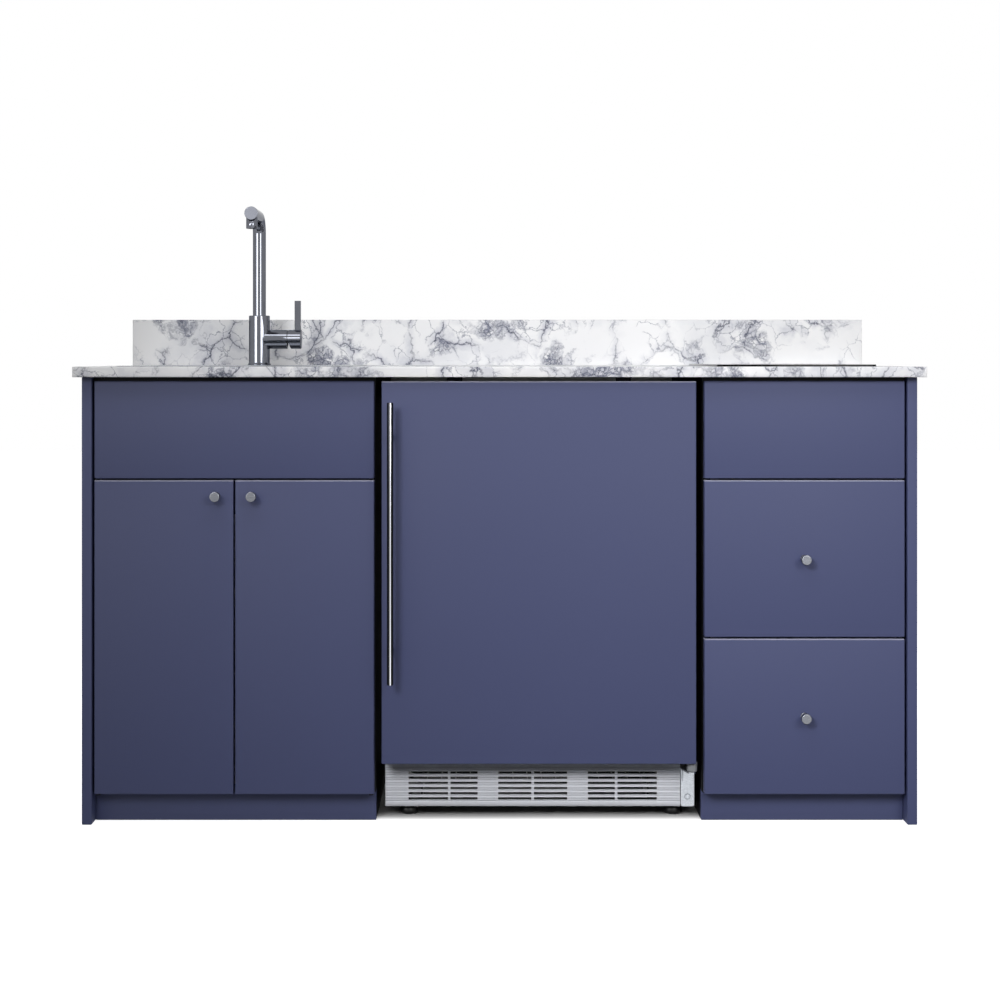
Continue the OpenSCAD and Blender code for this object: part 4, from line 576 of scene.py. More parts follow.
# The front edges and the two niche sides are painted near black, as painted shade in the gaps.
axes = add(tree, "ShaderNodeSeparateXYZ", {0: place})
dark = add(tree, "ShaderNodeMath", {0: axes.outputs["Y"], 1: CARCASS_FRONT + 1 * MM}, operation="LESS_THAN")
for plane in NICHE_PLANES:
    on_plane = add(
        tree, "ShaderNodeMath", {0: axes.outputs["X"], 1: plane, 2: 0.4 * MM}, operation="COMPARE"
    )
    dark = add(tree, "ShaderNodeMath", {0: dark, 1: on_plane}, operation="MAXIMUM")
along = add(tree, "ShaderNodeMapping", {"Vector": place, "Scale": (700, 700, 60)})
pores = add(tree, "ShaderNodeTexNoise", {"Vector": along, "Scale": 1.0, "Detail": 2.0})
white = add(tree, "ShaderNodeMix", {0: pores, 6: "#dcdad6", 7: "#e8e6e2"}, data_type="RGBA")
painted_shade_black = add(tree, "ShaderNodeMix", {0: pores, 6: "#040405", 7: "#070709"}, data_type="RGBA")
tint = add(tree, "ShaderNodeMix", {0: dark, 6: white.outputs[2], 7: painted_shade_black.outputs[2]}, data_type="RGBA")
tree.links.new(tint.outputs[2], shader.inputs["Base Color"])
bump = add(tree, "ShaderNodeBump", {"Height": pores, "Distance": 0.01 * MM, "Strength": 1.0})
tree.links.new(bump.outputs[0], shader.inputs["Normal"])
dress(
    melamine,
    *("sink_cabinet_sides", "drawer_cabinet_sides", "cabinet_floors", "cabinet_backs", "cabinet_rails"),
)

# %% [markdown]
# ## Birch plywood drawers
#
# The drawer boxes are birch plywood with clear lacquer. Its faces show rings as soft bands with short
# dark pores along the grain. Its cut edges show the plies, which are 1.4 mm thick and turn by a quarter
# each time, so they look light and dark in turn. The rim's height tells a cut edge from a face, and the
# distance from the drawer's middle tells whether the plies lie side by side in X or in Y.

# %% Birch plywood
birch, tree, shader, place = new_finish("lacquered_birch_plywood", roughness=0.36, ior=1.5)
box_a, box_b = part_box("drawer_upper_box")
DRAWER_MIDDLE, BOARD, PLY = (box_a.x + box_b.x) / 2, 12.7 * MM, 1.4 * MM
along = add(tree, "ShaderNodeMapping", {"Vector": place, "Scale": (9, 0.7, 38)})
rings = add(
    tree,
    "ShaderNodeTexWave",
    {"Vector": along, "Scale": 1.0, "Distortion": 5.0, "Detail": 3.0},
    wave_type="BANDS",
    bands_direction="Z",
)
along = add(tree, "ShaderNodeMapping", {"Vector": place, "Scale": (900, 45, 900)})
pores = add(tree, "ShaderNodeTexNoise", {"Vector": along, "Scale": 1.0, "Detail": 2.0})
pores = add(tree, "ShaderNodeMapRange", {0: pores, 1: 0.56, 2: 0.7, 3: 0.0, 4: 0.5})
wood = add(tree, "ShaderNodeMix", {0: rings.outputs[1], 6: "#cfae7e", 7: "#dfc59a"}, data_type="RGBA")
wood = add(tree, "ShaderNodeMix", {0: pores, 6: wood.outputs[2], 7: "#a67f4f"}, data_type="RGBA")
axes = add(tree, "ShaderNodeSeparateXYZ", {0: place})
across = add(tree, "ShaderNodeMath", {0: axes.outputs["X"], 1: DRAWER_MIDDLE}, operation="SUBTRACT")
across = add(tree, "ShaderNodeMath", {0: across}, operation="ABSOLUTE")
in_side = add(
    tree, "ShaderNodeMath", {0: across, 1: (box_b.x - box_a.x) / 2 - BOARD}, operation="GREATER_THAN"
)
depth = add(
    tree, "ShaderNodeMix", {0: in_side, 2: axes.outputs["Y"], 3: axes.outputs["X"]}, data_type="FLOAT"
)
plies = add(tree, "ShaderNodeMath", {0: depth, 1: PLY}, operation="DIVIDE")
plies = add(tree, "ShaderNodeMath", {0: plies, 1: 1.0}, operation="PINGPONG")
plies = add(tree, "ShaderNodeMapRange", {0: plies, 1: 0.4, 2: 0.6})
edge = add(tree, "ShaderNodeMix", {0: plies, 6: "#b48c5c", 7: "#dcc194"}, data_type="RGBA")
for level in ("upper", "lower"):
    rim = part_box(f"drawer_{level}_box")[1].z
    at_rim = add(tree, "ShaderNodeMath", {0: axes.outputs["Z"], 1: rim, 2: 0.4 * MM}, operation="COMPARE")
    wood = add(tree, "ShaderNodeMix", {0: at_rim, 6: wood.outputs[2], 7: edge.outputs[2]}, data_type="RGBA")
tree.links.new(wood.outputs[2], shader.inputs["Base Color"])
dress(birch, "drawer_upper_box", "drawer_lower_box")

# %% [markdown]
# ## The studio
#
# The unit stands on a plain pale floor in an even white room. The room's own light is soft and rather
# low, and the camera, mirrors and clear things see it as pure white. The floor adds its own white for
# them, and a little more of it far away, so that it meets the background without a line and still
# shows the unit's soft shadow. A broad box above and two panels beside the camera give the fall of light
# on the fronts, and three weak fills keep the sides and the back clear to see.
#
# Polished metal looks like what it mirrors, and here it mirrors the white room. Three white cards in
# front give the tap its bright lines. Only mirrors see them, so every other colour stays as it is.

# %% The floor
def looked_at(tree):
    """One where the camera, a mirror or a clear thing looks."""
    rays = add(tree, "ShaderNodeLightPath")
    eye = rays.outputs["Is Camera Ray"]
    for ray in ("Is Glossy Ray", "Is Transmission Ray"):
        eye = add(tree, "ShaderNodeMath", {0: eye, 1: rays.outputs[ray]}, operation="MAXIMUM").outputs[0]
    return eye


REACH = 14.0
floor_mesh = bpy.data.meshes.new("studio_floor")
floor_mesh.from_pydata(
    [(-REACH, -REACH, 0), (REACH, -REACH, 0), (REACH, REACH, 0), (-REACH, REACH, 0)], [], [(0, 1, 2, 3)]
)
floor = bpy.data.objects.new("studio_floor", floor_mesh)
floor.location.z = -0.2 * MM
bpy.context.scene.collection.objects.link(floor)
paper = bpy.data.materials.new("matt_white_paper")
paper.use_nodes = True
floor_mesh.materials.append(paper)
tree = paper.node_tree
tree.nodes.clear()
# The floor's own white stays off the footprint, which is less than the unit's outline: 90 mm less in
# front, for the handle and the toe-kicks' recess, and 12 mm less at each end, where the worktop sticks
# out by 13 mm. The white fades in over 55 mm. At the ends it is full at that line. In front and behind
# it starts 44 mm inside the line and is full 11 mm outside it.
IN_FRONT, AT_END, IN_DEPTH, FADE = 90 * MM, 12 * MM, 44 * MM, 55 * MM
foot_a, foot_b = cad_bounds
middle = ((foot_a[0] + foot_b[0]) / 2, (foot_a[1] + IN_FRONT + foot_b[1]) / 2)
half = ((foot_b[0] - foot_a[0]) / 2 - AT_END - FADE, (foot_b[1] - foot_a[1] - IN_FRONT) / 2 - IN_DEPTH)
axes = add(tree, "ShaderNodeSeparateXYZ", {0: add(tree, "ShaderNodeTexCoord").outputs["Object"]})
sides = []
for axis in (0, 1):
    across = add(tree, "ShaderNodeMath", {0: axes.outputs[axis], 1: middle[axis]}, operation="SUBTRACT")
    across = add(tree, "ShaderNodeMath", {0: across}, operation="ABSOLUTE")
    sides.append(add(tree, "ShaderNodeMath", {0: across, 1: half[axis]}, operation="SUBTRACT"))
outside = add(tree, "ShaderNodeMath", {0: sides[0], 1: sides[1]}, operation="MAXIMUM")
glow = add(
    tree,
    "ShaderNodeMapRange",
    {0: outside, 1: 0.0, 2: FADE, 3: 0.0, 4: 0.86},
    interpolation_type="SMOOTHSTEP",
)
# Far from the lamps the white is raised to full, so that the floor meets the background.
far = add(tree, "ShaderNodeMapRange", {0: outside, 1: 0.3, 2: 3.0, 3: 0.0, 4: 0.14})
glow = add(tree, "ShaderNodeMath", {0: glow, 1: far}, operation="ADD")
matt = add(tree, "ShaderNodeBsdfDiffuse", {"Color": (0.8, 0.8, 0.8, 1)})
dim = add(tree, "ShaderNodeBsdfDiffuse", {"Color": (0.04, 0.04, 0.04, 1)})
light = add(tree, "ShaderNodeEmission", {"Color": (1, 1, 1, 1), "Strength": glow})
both = add(tree, "ShaderNodeAddShader", {0: matt, 1: light})
mixed = add(tree, "ShaderNodeMixShader", {0: looked_at(tree), 1: dim, 2: both})
add(tree, "ShaderNodeOutputMaterial", {"Surface": mixed})
print("floor: the white fades in over", round(FADE / MM), "mm")

# %% The room and the lamps
world = bpy.data.worlds.new("white_room")
bpy.context.scene.world = world
world.use_nodes = True
tree = world.node_tree
tree.nodes.clear()
eye = looked_at(tree)
room_light = add(tree, "ShaderNodeBackground", {"Color": (1, 1, 1, 1), "Strength": 0.07})
white_wall = add(tree, "ShaderNodeBackground", {"Color": (1, 1, 1, 1), "Strength": 1.0})
mixed = add(tree, "ShaderNodeMixShader", {0: eye, 1: room_light, 2: white_wall})
add(tree, "ShaderNodeOutputWorld", {"Surface": mixed})


def softbox(name, spot, aim, size, power, spread, seen_by="everything"):
    """A lamp of some width and height at a spot, aimed at a point; a grid narrows its spread in degrees."""
    lamp_data = bpy.data.lights.new(name, "AREA")
    lamp_data.shape = "RECTANGLE"
    lamp_data.size, lamp_data.size_y = size
    lamp_data.energy = power
    lamp_data.spread = math.radians(spread)
    lamp = bpy.data.objects.new(name, lamp_data)
    lamp.location = spot
    lamp.rotation_euler = (Vector(aim) - Vector(spot)).to_track_quat("-Z", "Y").to_euler()
    lamp.visible_diffuse = seen_by != "mirrors"
    lamp.visible_glossy = seen_by != "matt faces"
    bpy.context.scene.collection.objects.link(lamp)


softbox("left_panel", (-1.15, -3.4, 2.0), (1.0, -0.3, 0.4), (1.0, 1.2), 14, 64)
softbox("right_panel", (1.6, -3.4, 2.0), (0.6, -0.3, 0.3), (1.4, 1.2), 12, 95)
softbox("top_box", (-0.3, -1.5, 3.0), (0.0, 0.1, 0.85), (2.4, 0.9), 18, 150)
softbox("back_box", (0.0, 3.4, 1.3), (0.0, 0.3, 0.5), (2.4, 1.4), 15, 90, seen_by="matt faces")
softbox("left_fill", (-3.6, 0.3, 1.3), (-0.8, 0.0, 0.4), (1.6, 1.4), 6, 90, seen_by="matt faces")
softbox("right_fill", (3.6, 0.3, 1.3), (0.8, 0.0, 0.4), (1.6, 1.4), 6, 90, seen_by="matt faces")
softbox("left_card", (-2.8, -3.33, 1.15), (-0.5, 0.2, 1.1), (1.7, 1.3), 62, 180, seen_by="mirrors")
softbox("right_card", (1.45, -3.4, 1.15), (-0.5, 0.2, 1.1), (1.1, 1.3), 38, 180, seen_by="mirrors")
softbox("spout_card", (-0.95, -3.4, 1.47), (-0.5, 0.0, 1.2), (0.36, 0.3), 0.55, 180, seen_by="mirrors")

bpy.context.scene.view_settings.view_transform = "Standard"
print("lamps and cards:", len(bpy.data.lights))

# %% [markdown]
# ## The pressed sink
#
# A sink bowl is drawn from one sheet in a press, so no edge on it is sharp: the rim rolls over, the
# walls lean in a little, and the floor dips towards the drain. It could be carved from a block with
# bevels, but a stack of rounded rectangles that all have the same number of points gives every radius
# exactly. They are joined ring to ring, which is what a loft does. The last ring is round, for the
# drain. Solidify then gives the sheet its thickness on the hidden side.

# %% The rings of the sink
def rounded_ring(centre, half, radius, z, per_corner=10):
    """Points of a rounded rectangle, or of a circle when the radius equals both halves."""
    points = []
    for quarter, (sx, sy) in enumerate(((1, 1), (-1, 1), (-1, -1), (1, -1))):
        for step in range(per_corner + 1):
            angle = math.radians(90 * quarter + 90 * step / per_corner)
            x = centre[0] + sx * (half[0] - radius) + radius * math.cos(angle)
            y = centre[1] + sy * (half[1] - radius) + radius * math.sin(angle)
            points.append((x, y, z))
    return points


rim_a, rim_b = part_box("sink_bowl")
drain_a, drain_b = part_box("strainer_body")
SIDE, FRONT, DECK, CORNER, RIM_Z = 35 * MM, 28 * MM, 95 * MM, 45 * MM, rim_b.z
FLOOR_Z = RIM_Z - 151.2 * MM
rim_middle = ((rim_a.x + rim_b.x) / 2, (rim_a.y + rim_b.y) / 2)
rim_half = ((rim_b.x - rim_a.x) / 2, (rim_b.y - rim_a.y) / 2)
bowl_half = (rim_half[0] - SIDE, rim_half[1] - (FRONT + DECK) / 2)
bowl_middle = (rim_middle[0], rim_a.y + FRONT + bowl_half[1])
drain_middle = ((drain_a.x + drain_b.x) / 2, (drain_a.y + drain_b.y) / 2)


def bowl_ring(shrink_mm, z, radius=CORNER):
    """One level of the bowl, moved in from its top outline by some millimetres."""
    return rounded_ring(bowl_middle, [h - shrink_mm * MM for h in bowl_half], radius, z)


rings = []
# The rim: each pair is how far in and how far down a ring lies, in millimetres.
for shrink, drop in ((0, 1.15), (0, 0.5), (0.2, 0.15), (0.6, 0), (8, 0)):
    half = [h - shrink * MM for h in rim_half]
    rings.append(rounded_ring(rim_middle, half, 22 * MM - shrink * MM, RIM_Z - drop * MM))
# The upper radius of 4 mm, by the angle that the sheet has turned through, and the wall below it.
for turn in (0, 15, 30, 50, 70, 90):
    out = 4 * (1 - math.sin(math.radians(turn)))
    drop = 4 * (1 - math.cos(math.radians(turn)))
    rings.append(bowl_ring(-out, RIM_Z - drop * MM, CORNER + out * MM))
rings.append(bowl_ring(4, RIM_Z - 70 * MM))
# The lower radius of 22 mm, from the wall to the floor.
for turn in (0, 15, 30, 45, 60, 75, 90):
    angle = math.radians(turn)
    rings.append(bowl_ring(8 + 22 * (1 - math.cos(angle)), FLOOR_Z + 22 * (1 - math.sin(angle)) * MM))
# The floor, which goes over from the bowl's outline to a circle of 54 mm radius round the drain.
for share in (0.25, 0.5, 0.75, 1.0):
    half = [(h - 30 * MM) * (1 - share) + 54 * MM * share for h in bowl_half]
    middle = [b * (1 - share) + d * share for b, d in zip(bowl_middle, drain_middle)]
    radius = min(CORNER * (1 - share) + 54 * MM * share, min(half))
    rings.append(rounded_ring(middle, half, radius, FLOOR_Z - 2.6 * share * MM))
# The flat ring under the strainer's flange, from 50 mm in to the drain's hole of 43.3 mm radius.
for radius in (50 * MM, 43.3 * MM):
    rings.append(rounded_ring(drain_middle, (radius, radius), radius, FLOOR_Z - 3 * MM))
print("bowl:", len(rings), "rings of", len(rings[0]), "points")

# %% The sink's sheet
mesh = bpy.data.meshes.new("pressed_bowl")
build = bmesh.new()
rows = [[build.verts.new(point) for point in ring] for ring in rings]
for outer, inner in zip(rows, rows[1:]):
    for i in range(len(outer)):
        j = (i + 1) % len(outer)
        build.faces.new((outer[i], outer[j], inner[j], inner[i])).smooth = True
bmesh.ops.remove_doubles(build, verts=build.verts, dist=0.002 * MM)
build.normal_update()
flat_rim = max(build.faces, key=lambda face: face.calc_center_median().z)
if flat_rim.normal.z < 0:
    bmesh.ops.reverse_faces(build, faces=build.faces)
build.to_mesh(mesh)
build.free()
mesh.materials.append(stainless)
pressed_bowl = bpy.data.objects.new("pressed_bowl", mesh)
bpy.context.scene.collection.objects.link(pressed_bowl)
sheet = pressed_bowl.modifiers.new("sheet", "SOLIDIFY")
sheet.thickness = 1.1 * MM
sheet.offset = -1
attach(pressed_bowl, "unit")
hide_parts("sink_bowl")
print("bowl:", len(mesh.polygons), "faces before its thickness")


# %% [markdown]
# ## Geometry Nodes for what repeats
#
# Screws, buffers and printed dashes each repeat one small shape many times. A tree that sets the shape
# on points keeps one true size for all of them. The points carry the way that each copy faces, and a
# seeded turn about that way keeps the screws' crosses from lining up, as they never do on real
# furniture. A second tree draws a round bar along a route, which is what sealant beads and pipes are.

# %% Making and running a tree
def new_tree(name, **sizes):
    """An empty tree with a geometry input and named inputs; each size gives a socket kind and a default."""
    tree = bpy.data.node_groups.new(name, "GeometryNodeTree")
    tree.interface.new_socket("Geometry", in_out="INPUT", socket_type="NodeSocketGeometry")
    for label, (kind, default) in sizes.items():
        socket = tree.interface.new_socket(label, in_out="INPUT", socket_type="NodeSocket" + kind)
        if default is not None:
            socket.default_value = default
    tree.interface.new_socket("Geometry", in_out="OUTPUT", socket_type="NodeSocketGeometry")
    return tree, add(tree, "NodeGroupInput").outputs


def run_tree(name, tree, points, ways=None, edges=(), **values):
    """Runs a tree on points, with the way each faces and the edges between them, and keeps a plain mesh."""
    mesh = bpy.data.meshes.new(name)
    mesh.from_pydata(points, edges, [])
    if ways:
        out = mesh.attributes.new("way", "FLOAT_VECTOR", "POINT")
        out.data.foreach_set("vector", [c for way in ways for c in way])
    piece = bpy.data.objects.new(name, mesh)
    bpy.context.scene.collection.objects.link(piece)
    modifier = piece.modifiers.new(name, "NODES")
    modifier.node_group = tree
    for item in tree.interface.items_tree:
        if item.in_out == "INPUT" and item.name in values:
            modifier[item.identifier] = values[item.name]
    graph = bpy.context.evaluated_depsgraph_get()
    plain = bpy.data.meshes.new_from_object(piece.evaluated_get(graph))
    piece.modifiers.clear()
    piece.data = plain
    bpy.data.meshes.remove(mesh)
    plain.name = name
    return piece


# %% A tree that sets a shape on points
set_on_points, given = new_tree(
    "set_on_points",
    Shape=("Object", None),
    Size=("Float", 1.0),
    Turn=("Float", math.tau),
    Seed=("Int", 11),
    Finish=("Material", None),
)
tree = set_on_points
shape = add(tree, "GeometryNodeObjectInfo", {"Object": given["Shape"]}, transform_space="ORIGINAL")
way = add(tree, "GeometryNodeInputNamedAttribute", {"Name": "way"}, data_type="FLOAT_VECTOR")
facing = add(tree, "FunctionNodeAlignRotationToVector", {"Vector": way}, axis="Z")
turn = add(
    tree, "FunctionNodeRandomValue", {2: 0.0, 3: given["Turn"], "Seed": given["Seed"]}, data_type="FLOAT"
)
spin = add(tree, "ShaderNodeCombineXYZ", {"Z": turn.outputs[1]})
spin = add(tree, "FunctionNodeEulerToRotation", {0: spin})
turned = add(tree, "FunctionNodeRotateRotation", {0: facing, 1: spin}, rotation_space="LOCAL")
placed = add(
    tree,
    "GeometryNodeInstanceOnPoints",
    {
        "Points": given["Geometry"],
        "Instance": shape.outputs["Geometry"],
        "Rotation": turned,
        "Scale": given["Size"],
    },
)
real = add(tree, "GeometryNodeRealizeInstances", {0: placed})
coated = add(tree, "GeometryNodeSetMaterial", {"Geometry": real, "Material": given["Finish"]})
add(tree, "NodeGroupOutput", {0: coated})

# %% A tree that draws a round bar along a route
bar_on_route, given = new_tree(
    "bar_on_route",
    Radius=("Float", 2 * MM),
    Bend=("Float", 10 * MM),
    Steps=("Int", 6),
    Sides=("Int", 10),
    Girth=("Float", 1.0),
    Finish=("Material", None),
)
tree = bar_on_route
route = add(tree, "GeometryNodeMeshToCurve", {0: given["Geometry"]})
eased = add(
    tree,
    "GeometryNodeFilletCurve",
    {"Curve": route, "Count": given["Steps"], "Radius": given["Bend"]},
    mode="POLY",
)
# The last straight stretch may widen towards its end; Girth is the end's size in bar widths.
share = add(tree, "GeometryNodeSplineParameter").outputs["Factor"]
girth = add(tree, "ShaderNodeMapRange", {0: share, 1: 0.97, 2: 1.0, 3: 1.0, 4: given["Girth"]})
eased = add(tree, "GeometryNodeSetCurveRadius", {"Curve": eased, "Radius": girth})
ring = add(
    tree, "GeometryNodeCurvePrimitiveCircle", {"Resolution": given["Sides"], "Radius": given["Radius"]}
)
bar = add(tree, "GeometryNodeCurveToMesh", {"Curve": eased, "Profile Curve": ring, "Fill Caps": True})
smooth = add(tree, "GeometryNodeSetShadeSmooth", {"Geometry": bar})
real = add(tree, "GeometryNodeRealizeInstances", {0: smooth})
coated = add(tree, "GeometryNodeSetMaterial", {"Geometry": real, "Material": given["Finish"]})
add(tree, "NodeGroupOutput", {0: coated})


# %% [markdown]
# ## Screws and buffers
#
# A pan-head screw is a low dome with a cross recess, so its head is a lathe profile with two thin boxes
# cut out. A door buffer is a clear dome of 8 mm that keeps the front off the carcass. Both repeat, so a
# few dozen faces are enough. They are patterns only and never stand in the scene themselves.

# %% One screw head and one buffer
def lathe(name, profile, capped=True, centre=(0, 0), sides=16):
    """Spins (radius, height) pairs, listed upwards on the outside; uncapped, the last joins the first."""
    mesh = bpy.data.meshes.new(name)
    build = bmesh.new()
    rows = []
    for radius, height in profile:
        row = []
        for turn in (math.tau * i / sides for i in range(sides)):
            x, y = centre[0] + radius * math.cos(turn), centre[1] + radius * math.sin(turn)
            row.append(build.verts.new((x, y, height)))
        rows.append(row)
    for lower, upper in zip(rows, rows[1:] + ([] if capped else rows[:1])):
        for i in range(sides):
            j = (i + 1) % sides
            build.faces.new((lower[i], lower[j], upper[j], upper[i])).smooth = True
    if capped:
        build.faces.new(rows[-1])
        build.faces.new(list(reversed(rows[0])))
    build.to_mesh(mesh)
    build.free()
    return bpy.data.objects.new(name, mesh)


def cut_cross(head, length, width, depth):
    """Cuts a cross recess into the top of a screw head."""
    shelf = bpy.context.scene.collection.objects
    shelf.link(head)
    top = max(vertex.co.z for vertex in head.data.vertices)
    cutters = []
    for turn in (0, 90):
        build = bmesh.new()
        turned = Matrix.Translation((0, 0, top)) @ Matrix.Rotation(math.radians(turn), 4, "Z")
        slot = turned @ Matrix.Diagonal((length, width, depth * 2, 1))
        bmesh.ops.create_cube(build, size=1.0, matrix=slot)
        mesh = bpy.data.meshes.new("cutter")
        build.to_mesh(mesh)
        build.free()
        cutters.append(bpy.data.objects.new("cutter", mesh))
        shelf.link(cutters[-1])
        cut = head.modifiers.new("recess", "BOOLEAN")
        cut.operation, cut.solver, cut.object = "DIFFERENCE", "EXACT", cutters[-1]
    graph = bpy.context.evaluated_depsgraph_get()
    carved = bpy.data.meshes.new_from_object(head.evaluated_get(graph))
    head.modifiers.clear()
    head.data = carved
    for cutter in cutters:
        bpy.data.objects.remove(cutter)
    shelf.unlink(head)
    return head


screw_profile = [(3.6 * MM, 0.0), (3.6 * MM, 0.7 * MM), (3.2 * MM, 1.3 * MM), (2.3 * MM, 1.7 * MM)]
screw_head = cut_cross(lathe("screw_head", screw_profile), 3.6 * MM, 0.8 * MM, 0.9 * MM)
buffer_profile = [(4.0 * MM, 0.0), (3.9 * MM, 0.8 * MM), (3.2 * MM, 1.6 * MM), (1.8 * MM, 2.1 * MM)]
buffer_dome = lathe("buffer_dome", buffer_profile)
print("screw head:", len(screw_head.data.polygons), "faces")

# %% Where the screws go
LEFT, RIGHT, TO_WALL = (-1, 0, 0), (1, 0, 0), (0, 1, 0)


def evenly(a, b, count):
    """Evenly spaced numbers from a to b, both included."""
    return [a + (b - a) * i / (count - 1) for i in range(count)]


fridge_a, fridge_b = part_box("fridge_cabinet")
backs_a, backs_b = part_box("cabinet_backs")
unit_screws = []
# Six screws down each edge of the refrigerator's back, and three along the top and the foot of each
# cabinet's back. Each is a place and the way it faces.
for x in (fridge_a.x + 12 * MM, fridge_b.x - 12 * MM):
    for z in evenly(fridge_a.z + 40 * MM, fridge_b.z - 40 * MM, 6):
        unit_screws.append(((x, fridge_b.y, z), TO_WALL))
for left, right in (
    (backs_a.x + 14 * MM, NICHE_PLANES[0] - 24 * MM),
    (NICHE_PLANES[1] + 24 * MM, backs_b.x - 14 * MM),
):
    for x in evenly(left, right, 3):
        for z in (backs_b.z - 8 * MM, backs_a.z + 8 * MM):
            unit_screws.append(((x, backs_b.y, z), TO_WALL))
# Four screws hold each runner to its side of a drawer box, and are seen from inside the box.
screw_sets = {"unit": unit_screws}
for level in ("upper", "lower"):
    a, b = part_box(f"drawer_{level}_box")
    screw_sets[f"drawer_{level}"] = [
        ((x, y, a.z + 77.5 * MM), way)
        for x, way in ((a.x + BOARD, RIGHT), (b.x - BOARD, LEFT))
        for y in evenly(a.y + 45 * MM, b.y - 60 * MM, 4)
    ]
for body, spots in screw_sets.items():
    points, ways = zip(*spots)
    screws = run_tree(f"{body}_screws", set_on_points, points, ways, Shape=screw_head, Finish=zinc)
    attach(screws, body)
    print(body, "screws:", len(spots), "with", len(screws.data.polygons), "faces")

# %% Where the buffers go
for body, front in (
    ("sink_door_left", "sink_door_left"),
    ("sink_door_right", "sink_door_right"),
    ("drawer_upper", "drawer_upper_front"),
    ("drawer_lower", "drawer_lower_front"),
):
    a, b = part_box(front)
    if "drawer" in body:
        spots = [(x, b.y, b.z - 30 * MM) for x in (a.x + 7 * MM, b.x - 7 * MM)]
    else:
        x = b.x - 45 * MM if "left" in body else a.x + 45 * MM
        spots = [(x, b.y, b.z - 22 * MM)]
    buffers = run_tree(
        f"{body}_buffers",
        set_on_points,
        spots,
        [TO_WALL] * len(spots),
        Shape=buffer_dome,
        Finish=buffer_gel,
    )
    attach(buffers, body)
    print(body, "buffers:", len(spots))


# %% [markdown]
# ## The tap's spout
#
# A spout starts as one straight tube that is bent round a former, so it is the same everywhere and its
# mirror runs on without a break. The CAD solid is faceted, which shows in a mirror. The bar tree draws
# the tube again with ninety-six sides and the former's radius, a little wider towards its closed end.
# The nozzle is turned on a lathe: its outline is spun round its axis, up the outside and down the bore.

# %% The spout and its nozzle
spout_a, spout_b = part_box("tap_spout")
TUBE, FORMER, FLARE = 14 * MM, 36 * MM, 1.25 * MM
axis_x, axis_z = (spout_a.x + spout_b.x) / 2, spout_b.z - TUBE - FLARE
axis_y = spout_b.y - TUBE
spout = run_tree(
    "bent_spout",
    bar_on_route,
    [(axis_x, axis_y, spout_a.z), (axis_x, axis_y, axis_z), (axis_x, spout_a.y, axis_z)],
    edges=[(0, 1), (1, 2)],
    Radius=TUBE,
    Bend=FORMER,
    Steps=24,
    Sides=96,
    Girth=1 + FLARE / TUBE,
    Finish=chrome,
)
round_over(spout, 0.8)
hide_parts("tap_spout")
NOZZLE, NOZZLE_Y, NOZZLE_END = 12 * MM, spout_a.y + 16 * MM, axis_z - 31.5 * MM
nozzle = lathe(
    "spout_nozzle",
    [
        (NOZZLE - 2 * MM, axis_z - 8 * MM),
        (NOZZLE - 2 * MM, NOZZLE_END),
        (NOZZLE - 0.6 * MM, NOZZLE_END),
        (NOZZLE, NOZZLE_END + 0.6 * MM),
        (NOZZLE, axis_z - 8 * MM),
    ],
    capped=False,
    centre=(axis_x, NOZZLE_Y),
    sides=64,
)
aerator = lathe(
    "aerator_insert",
    [
        (1 * MM, NOZZLE_END + 1.6 * MM),
        (NOZZLE - 2.1 * MM, NOZZLE_END + 1 * MM),
        (NOZZLE - 2.1 * MM, NOZZLE_END + 5 * MM),
        (1 * MM, NOZZLE_END + 5 * MM),
    ],
    centre=(axis_x, NOZZLE_Y),
    sides=48,
)
for piece, finish in ((nozzle, chrome), (aerator, bush_plastic)):
    piece.data.materials.append(finish)
    bpy.context.scene.collection.objects.link(piece)
for piece in (spout, nozzle, aerator):
    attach(piece, "spout")
print("spout:", len(spout.data.polygons), "faces")


# %% [markdown]
# ## Sealant beads
#
# Wherever a different material meets the marble, the fitter draws a bead of silicone so that no water
# gets under it: round the sink's rim, round the hob's glass and along the foot of the backsplash. Each
# bead is a round bar half sunk into the joint, so the bar tree with a corner radius draws them all.

# %% Sealant beads
def loop_edges(count):
    """The edges of a closed loop of points."""
    return [(i, (i + 1) % count) for i in range(count)]


def outline_of(a, b, z):
    """Four corner points of a box's outline at one height."""
    return [(a.x, a.y, z), (b.x, a.y, z), (b.x, b.y, z), (a.x, b.y, z)]


hob_a, hob_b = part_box("hob_glass")
splash_a, splash_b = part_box("backsplash")
splash_foot = [(splash_a.x + 1 * MM, splash_a.y, TOP_Z), (splash_b.x - 1 * MM, splash_a.y, TOP_Z)]
for name, points, edges, bend, radius, silicone in (
    ("sink_bead", outline_of(rim_a, rim_b, TOP_Z), loop_edges(4), 22 * MM, 0.8 * MM, sealant),
    ("hob_bead", outline_of(hob_a, hob_b, TOP_Z), loop_edges(4), 6 * MM, 0.9 * MM, sealant),
    ("backsplash_bead", splash_foot, [(0, 1)], 0.0, 1.2 * MM, pale_sealant),
):
    bead = run_tree(name, bar_on_route, points, edges=edges, Bend=bend, Radius=radius, Finish=silicone)
    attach(bead, "unit")
    print(name, len(bead.data.polygons), "faces")

# %% [markdown]
# ## Print on the hob
#
# The two cooking zones are marked by a fired print of short dashes, and two small rings at the front
# mark where a finger switches each zone. Print is a few hundredths of a millimetre thick. A dash is one
# small slab set on the points of a circle by a tree that knows the zone's radius, the number of dashes
# and their size.

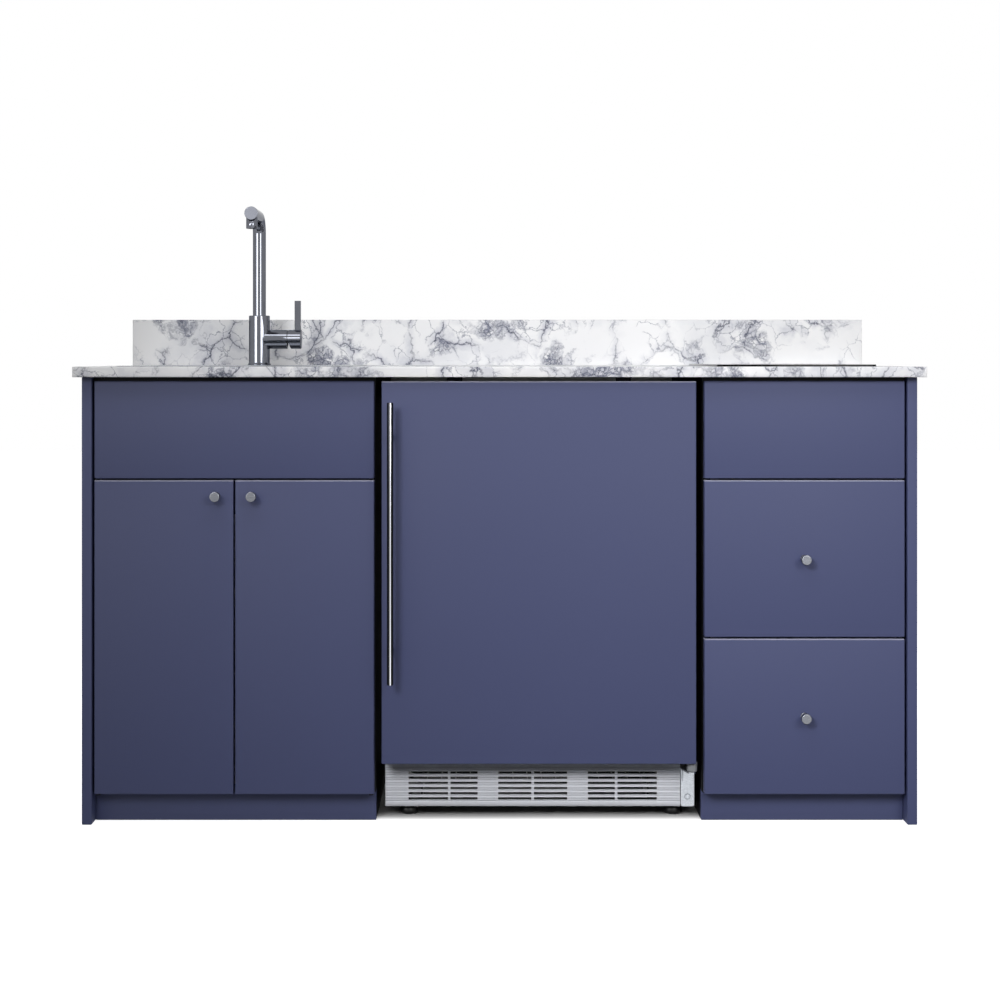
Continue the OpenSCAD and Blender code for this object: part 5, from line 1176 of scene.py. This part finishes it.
# %% Print on the hob
printed_grey = moulded("fired_grey_enamel_print", "#8e9094", "#9c9ea2", 0.6, 0.002, 0.35)
dashed_ring, given = new_tree(
    "dashed_ring",
    Radius=("Float", 90 * MM),
    Dashes=("Int", 96),
    Dash=("Vector", (0.9 * MM, 3.2 * MM, 0.06 * MM)),
    Finish=("Material", None),
)
tree = dashed_ring
circle = add(tree, "GeometryNodeMeshCircle", {"Vertices": given["Dashes"], "Radius": given["Radius"]})
slab = add(tree, "GeometryNodeMeshCube", {"Size": given["Dash"]})
outward = add(tree, "GeometryNodeInputPosition")
aligned = add(tree, "FunctionNodeAlignRotationToVector", {"Vector": outward}, axis="X", pivot_axis="Z")
dashes = add(
    tree, "GeometryNodeInstanceOnPoints", {"Points": circle, "Instance": slab, "Rotation": aligned}
)
centres = add(tree, "GeometryNodeInstanceOnPoints", {"Points": given["Geometry"], "Instance": dashes})
real = add(tree, "GeometryNodeRealizeInstances", {0: centres})
coated = add(tree, "GeometryNodeSetMaterial", {"Geometry": real, "Material": given["Finish"]})
add(tree, "NodeGroupOutput", {0: coated})

heat_a, heat_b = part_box("hob_elements")
PRINT_Z = hob_b.z + 0.02 * MM
hob_x = (heat_a.x + heat_b.x) / 2
REAR_RADIUS, FRONT_RADIUS, TOUCH_RADIUS = 90 * MM, 72.5 * MM, 8 * MM
for name, x, y, radius, dashes in (
    ("hob_rear_ring", hob_x, heat_b.y - REAR_RADIUS, REAR_RADIUS, 112),
    ("hob_front_ring", hob_x, heat_a.y + FRONT_RADIUS, FRONT_RADIUS, 90),
    ("touch_ring_left", hob_x - 70 * MM, hob_a.y + 26 * MM, TOUCH_RADIUS, 18),
    ("touch_ring_right", hob_x + 70 * MM, hob_a.y + 26 * MM, TOUCH_RADIUS, 18),
):
    ring = run_tree(
        name, dashed_ring, [(x, y, PRINT_Z)], Radius=radius, Dashes=dashes, Finish=printed_grey
    )
    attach(ring, "unit")
    print(name, len(ring.data.polygons), "faces")

# %% [markdown]
# ## The compressor's pipes
#
# The refrigerant goes round in drawn copper tube, which shows from behind. Two short lengths are drawn,
# one from the compressor's side and one from its top. Each is a route of a few points, and the bar tree
# rounds its corners. Neither is complete: the first stops about 12 mm short of the condenser, and the
# second ends free beside the compressor, where a real one runs on into the cabinet.

# %% The compressor's pipes
pot_a, pot_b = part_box("compressor")
coil_a, coil_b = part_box("condenser")
pot_x, pot_y, pot_z = (pot_a.x + pot_b.x) / 2, (pot_a.y + pot_b.y) / 2, pot_b.z
coil_z = (coil_a.z + coil_b.z) / 2
# The discharge pipe leaves the compressor's side, goes forward, down and on towards the condenser.
STUB_Z, SIDE_X, FORWARD_Y = pot_z - 60 * MM, pot_x - 92 * MM, pot_y - 70 * MM
discharge = [
    (pot_x - 55 * MM, pot_y, STUB_Z),
    (SIDE_X, pot_y, STUB_Z),
    (SIDE_X, FORWARD_Y, STUB_Z),
    (SIDE_X, FORWARD_Y, coil_z),
    (SIDE_X, coil_b.y - 2 * MM, coil_z),
]
# The suction pipe rises from the compressor's top, crosses over and drops beside it.
TOP_X, CROSS_X, SUCTION_Y, CROSS_Z = pot_x - 20 * MM, pot_x - 150 * MM, pot_y + 15 * MM, pot_z + 22 * MM
suction = [
    (TOP_X, SUCTION_Y, pot_z - 8 * MM),
    (TOP_X, SUCTION_Y, CROSS_Z),
    (CROSS_X, SUCTION_Y, CROSS_Z),
    (CROSS_X, SUCTION_Y, pot_z - 70 * MM),
]
for name, radius, route in (
    ("discharge_pipe", 2.4 * MM, discharge),
    ("suction_pipe", 3.2 * MM, suction),
):
    edges = [(i, i + 1) for i in range(len(route) - 1)]
    pipe = run_tree(name, bar_on_route, route, edges=edges, Bend=14 * MM, Radius=radius, Finish=copper)
    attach(pipe, "unit")
    print(name, len(pipe.data.polygons), "faces")
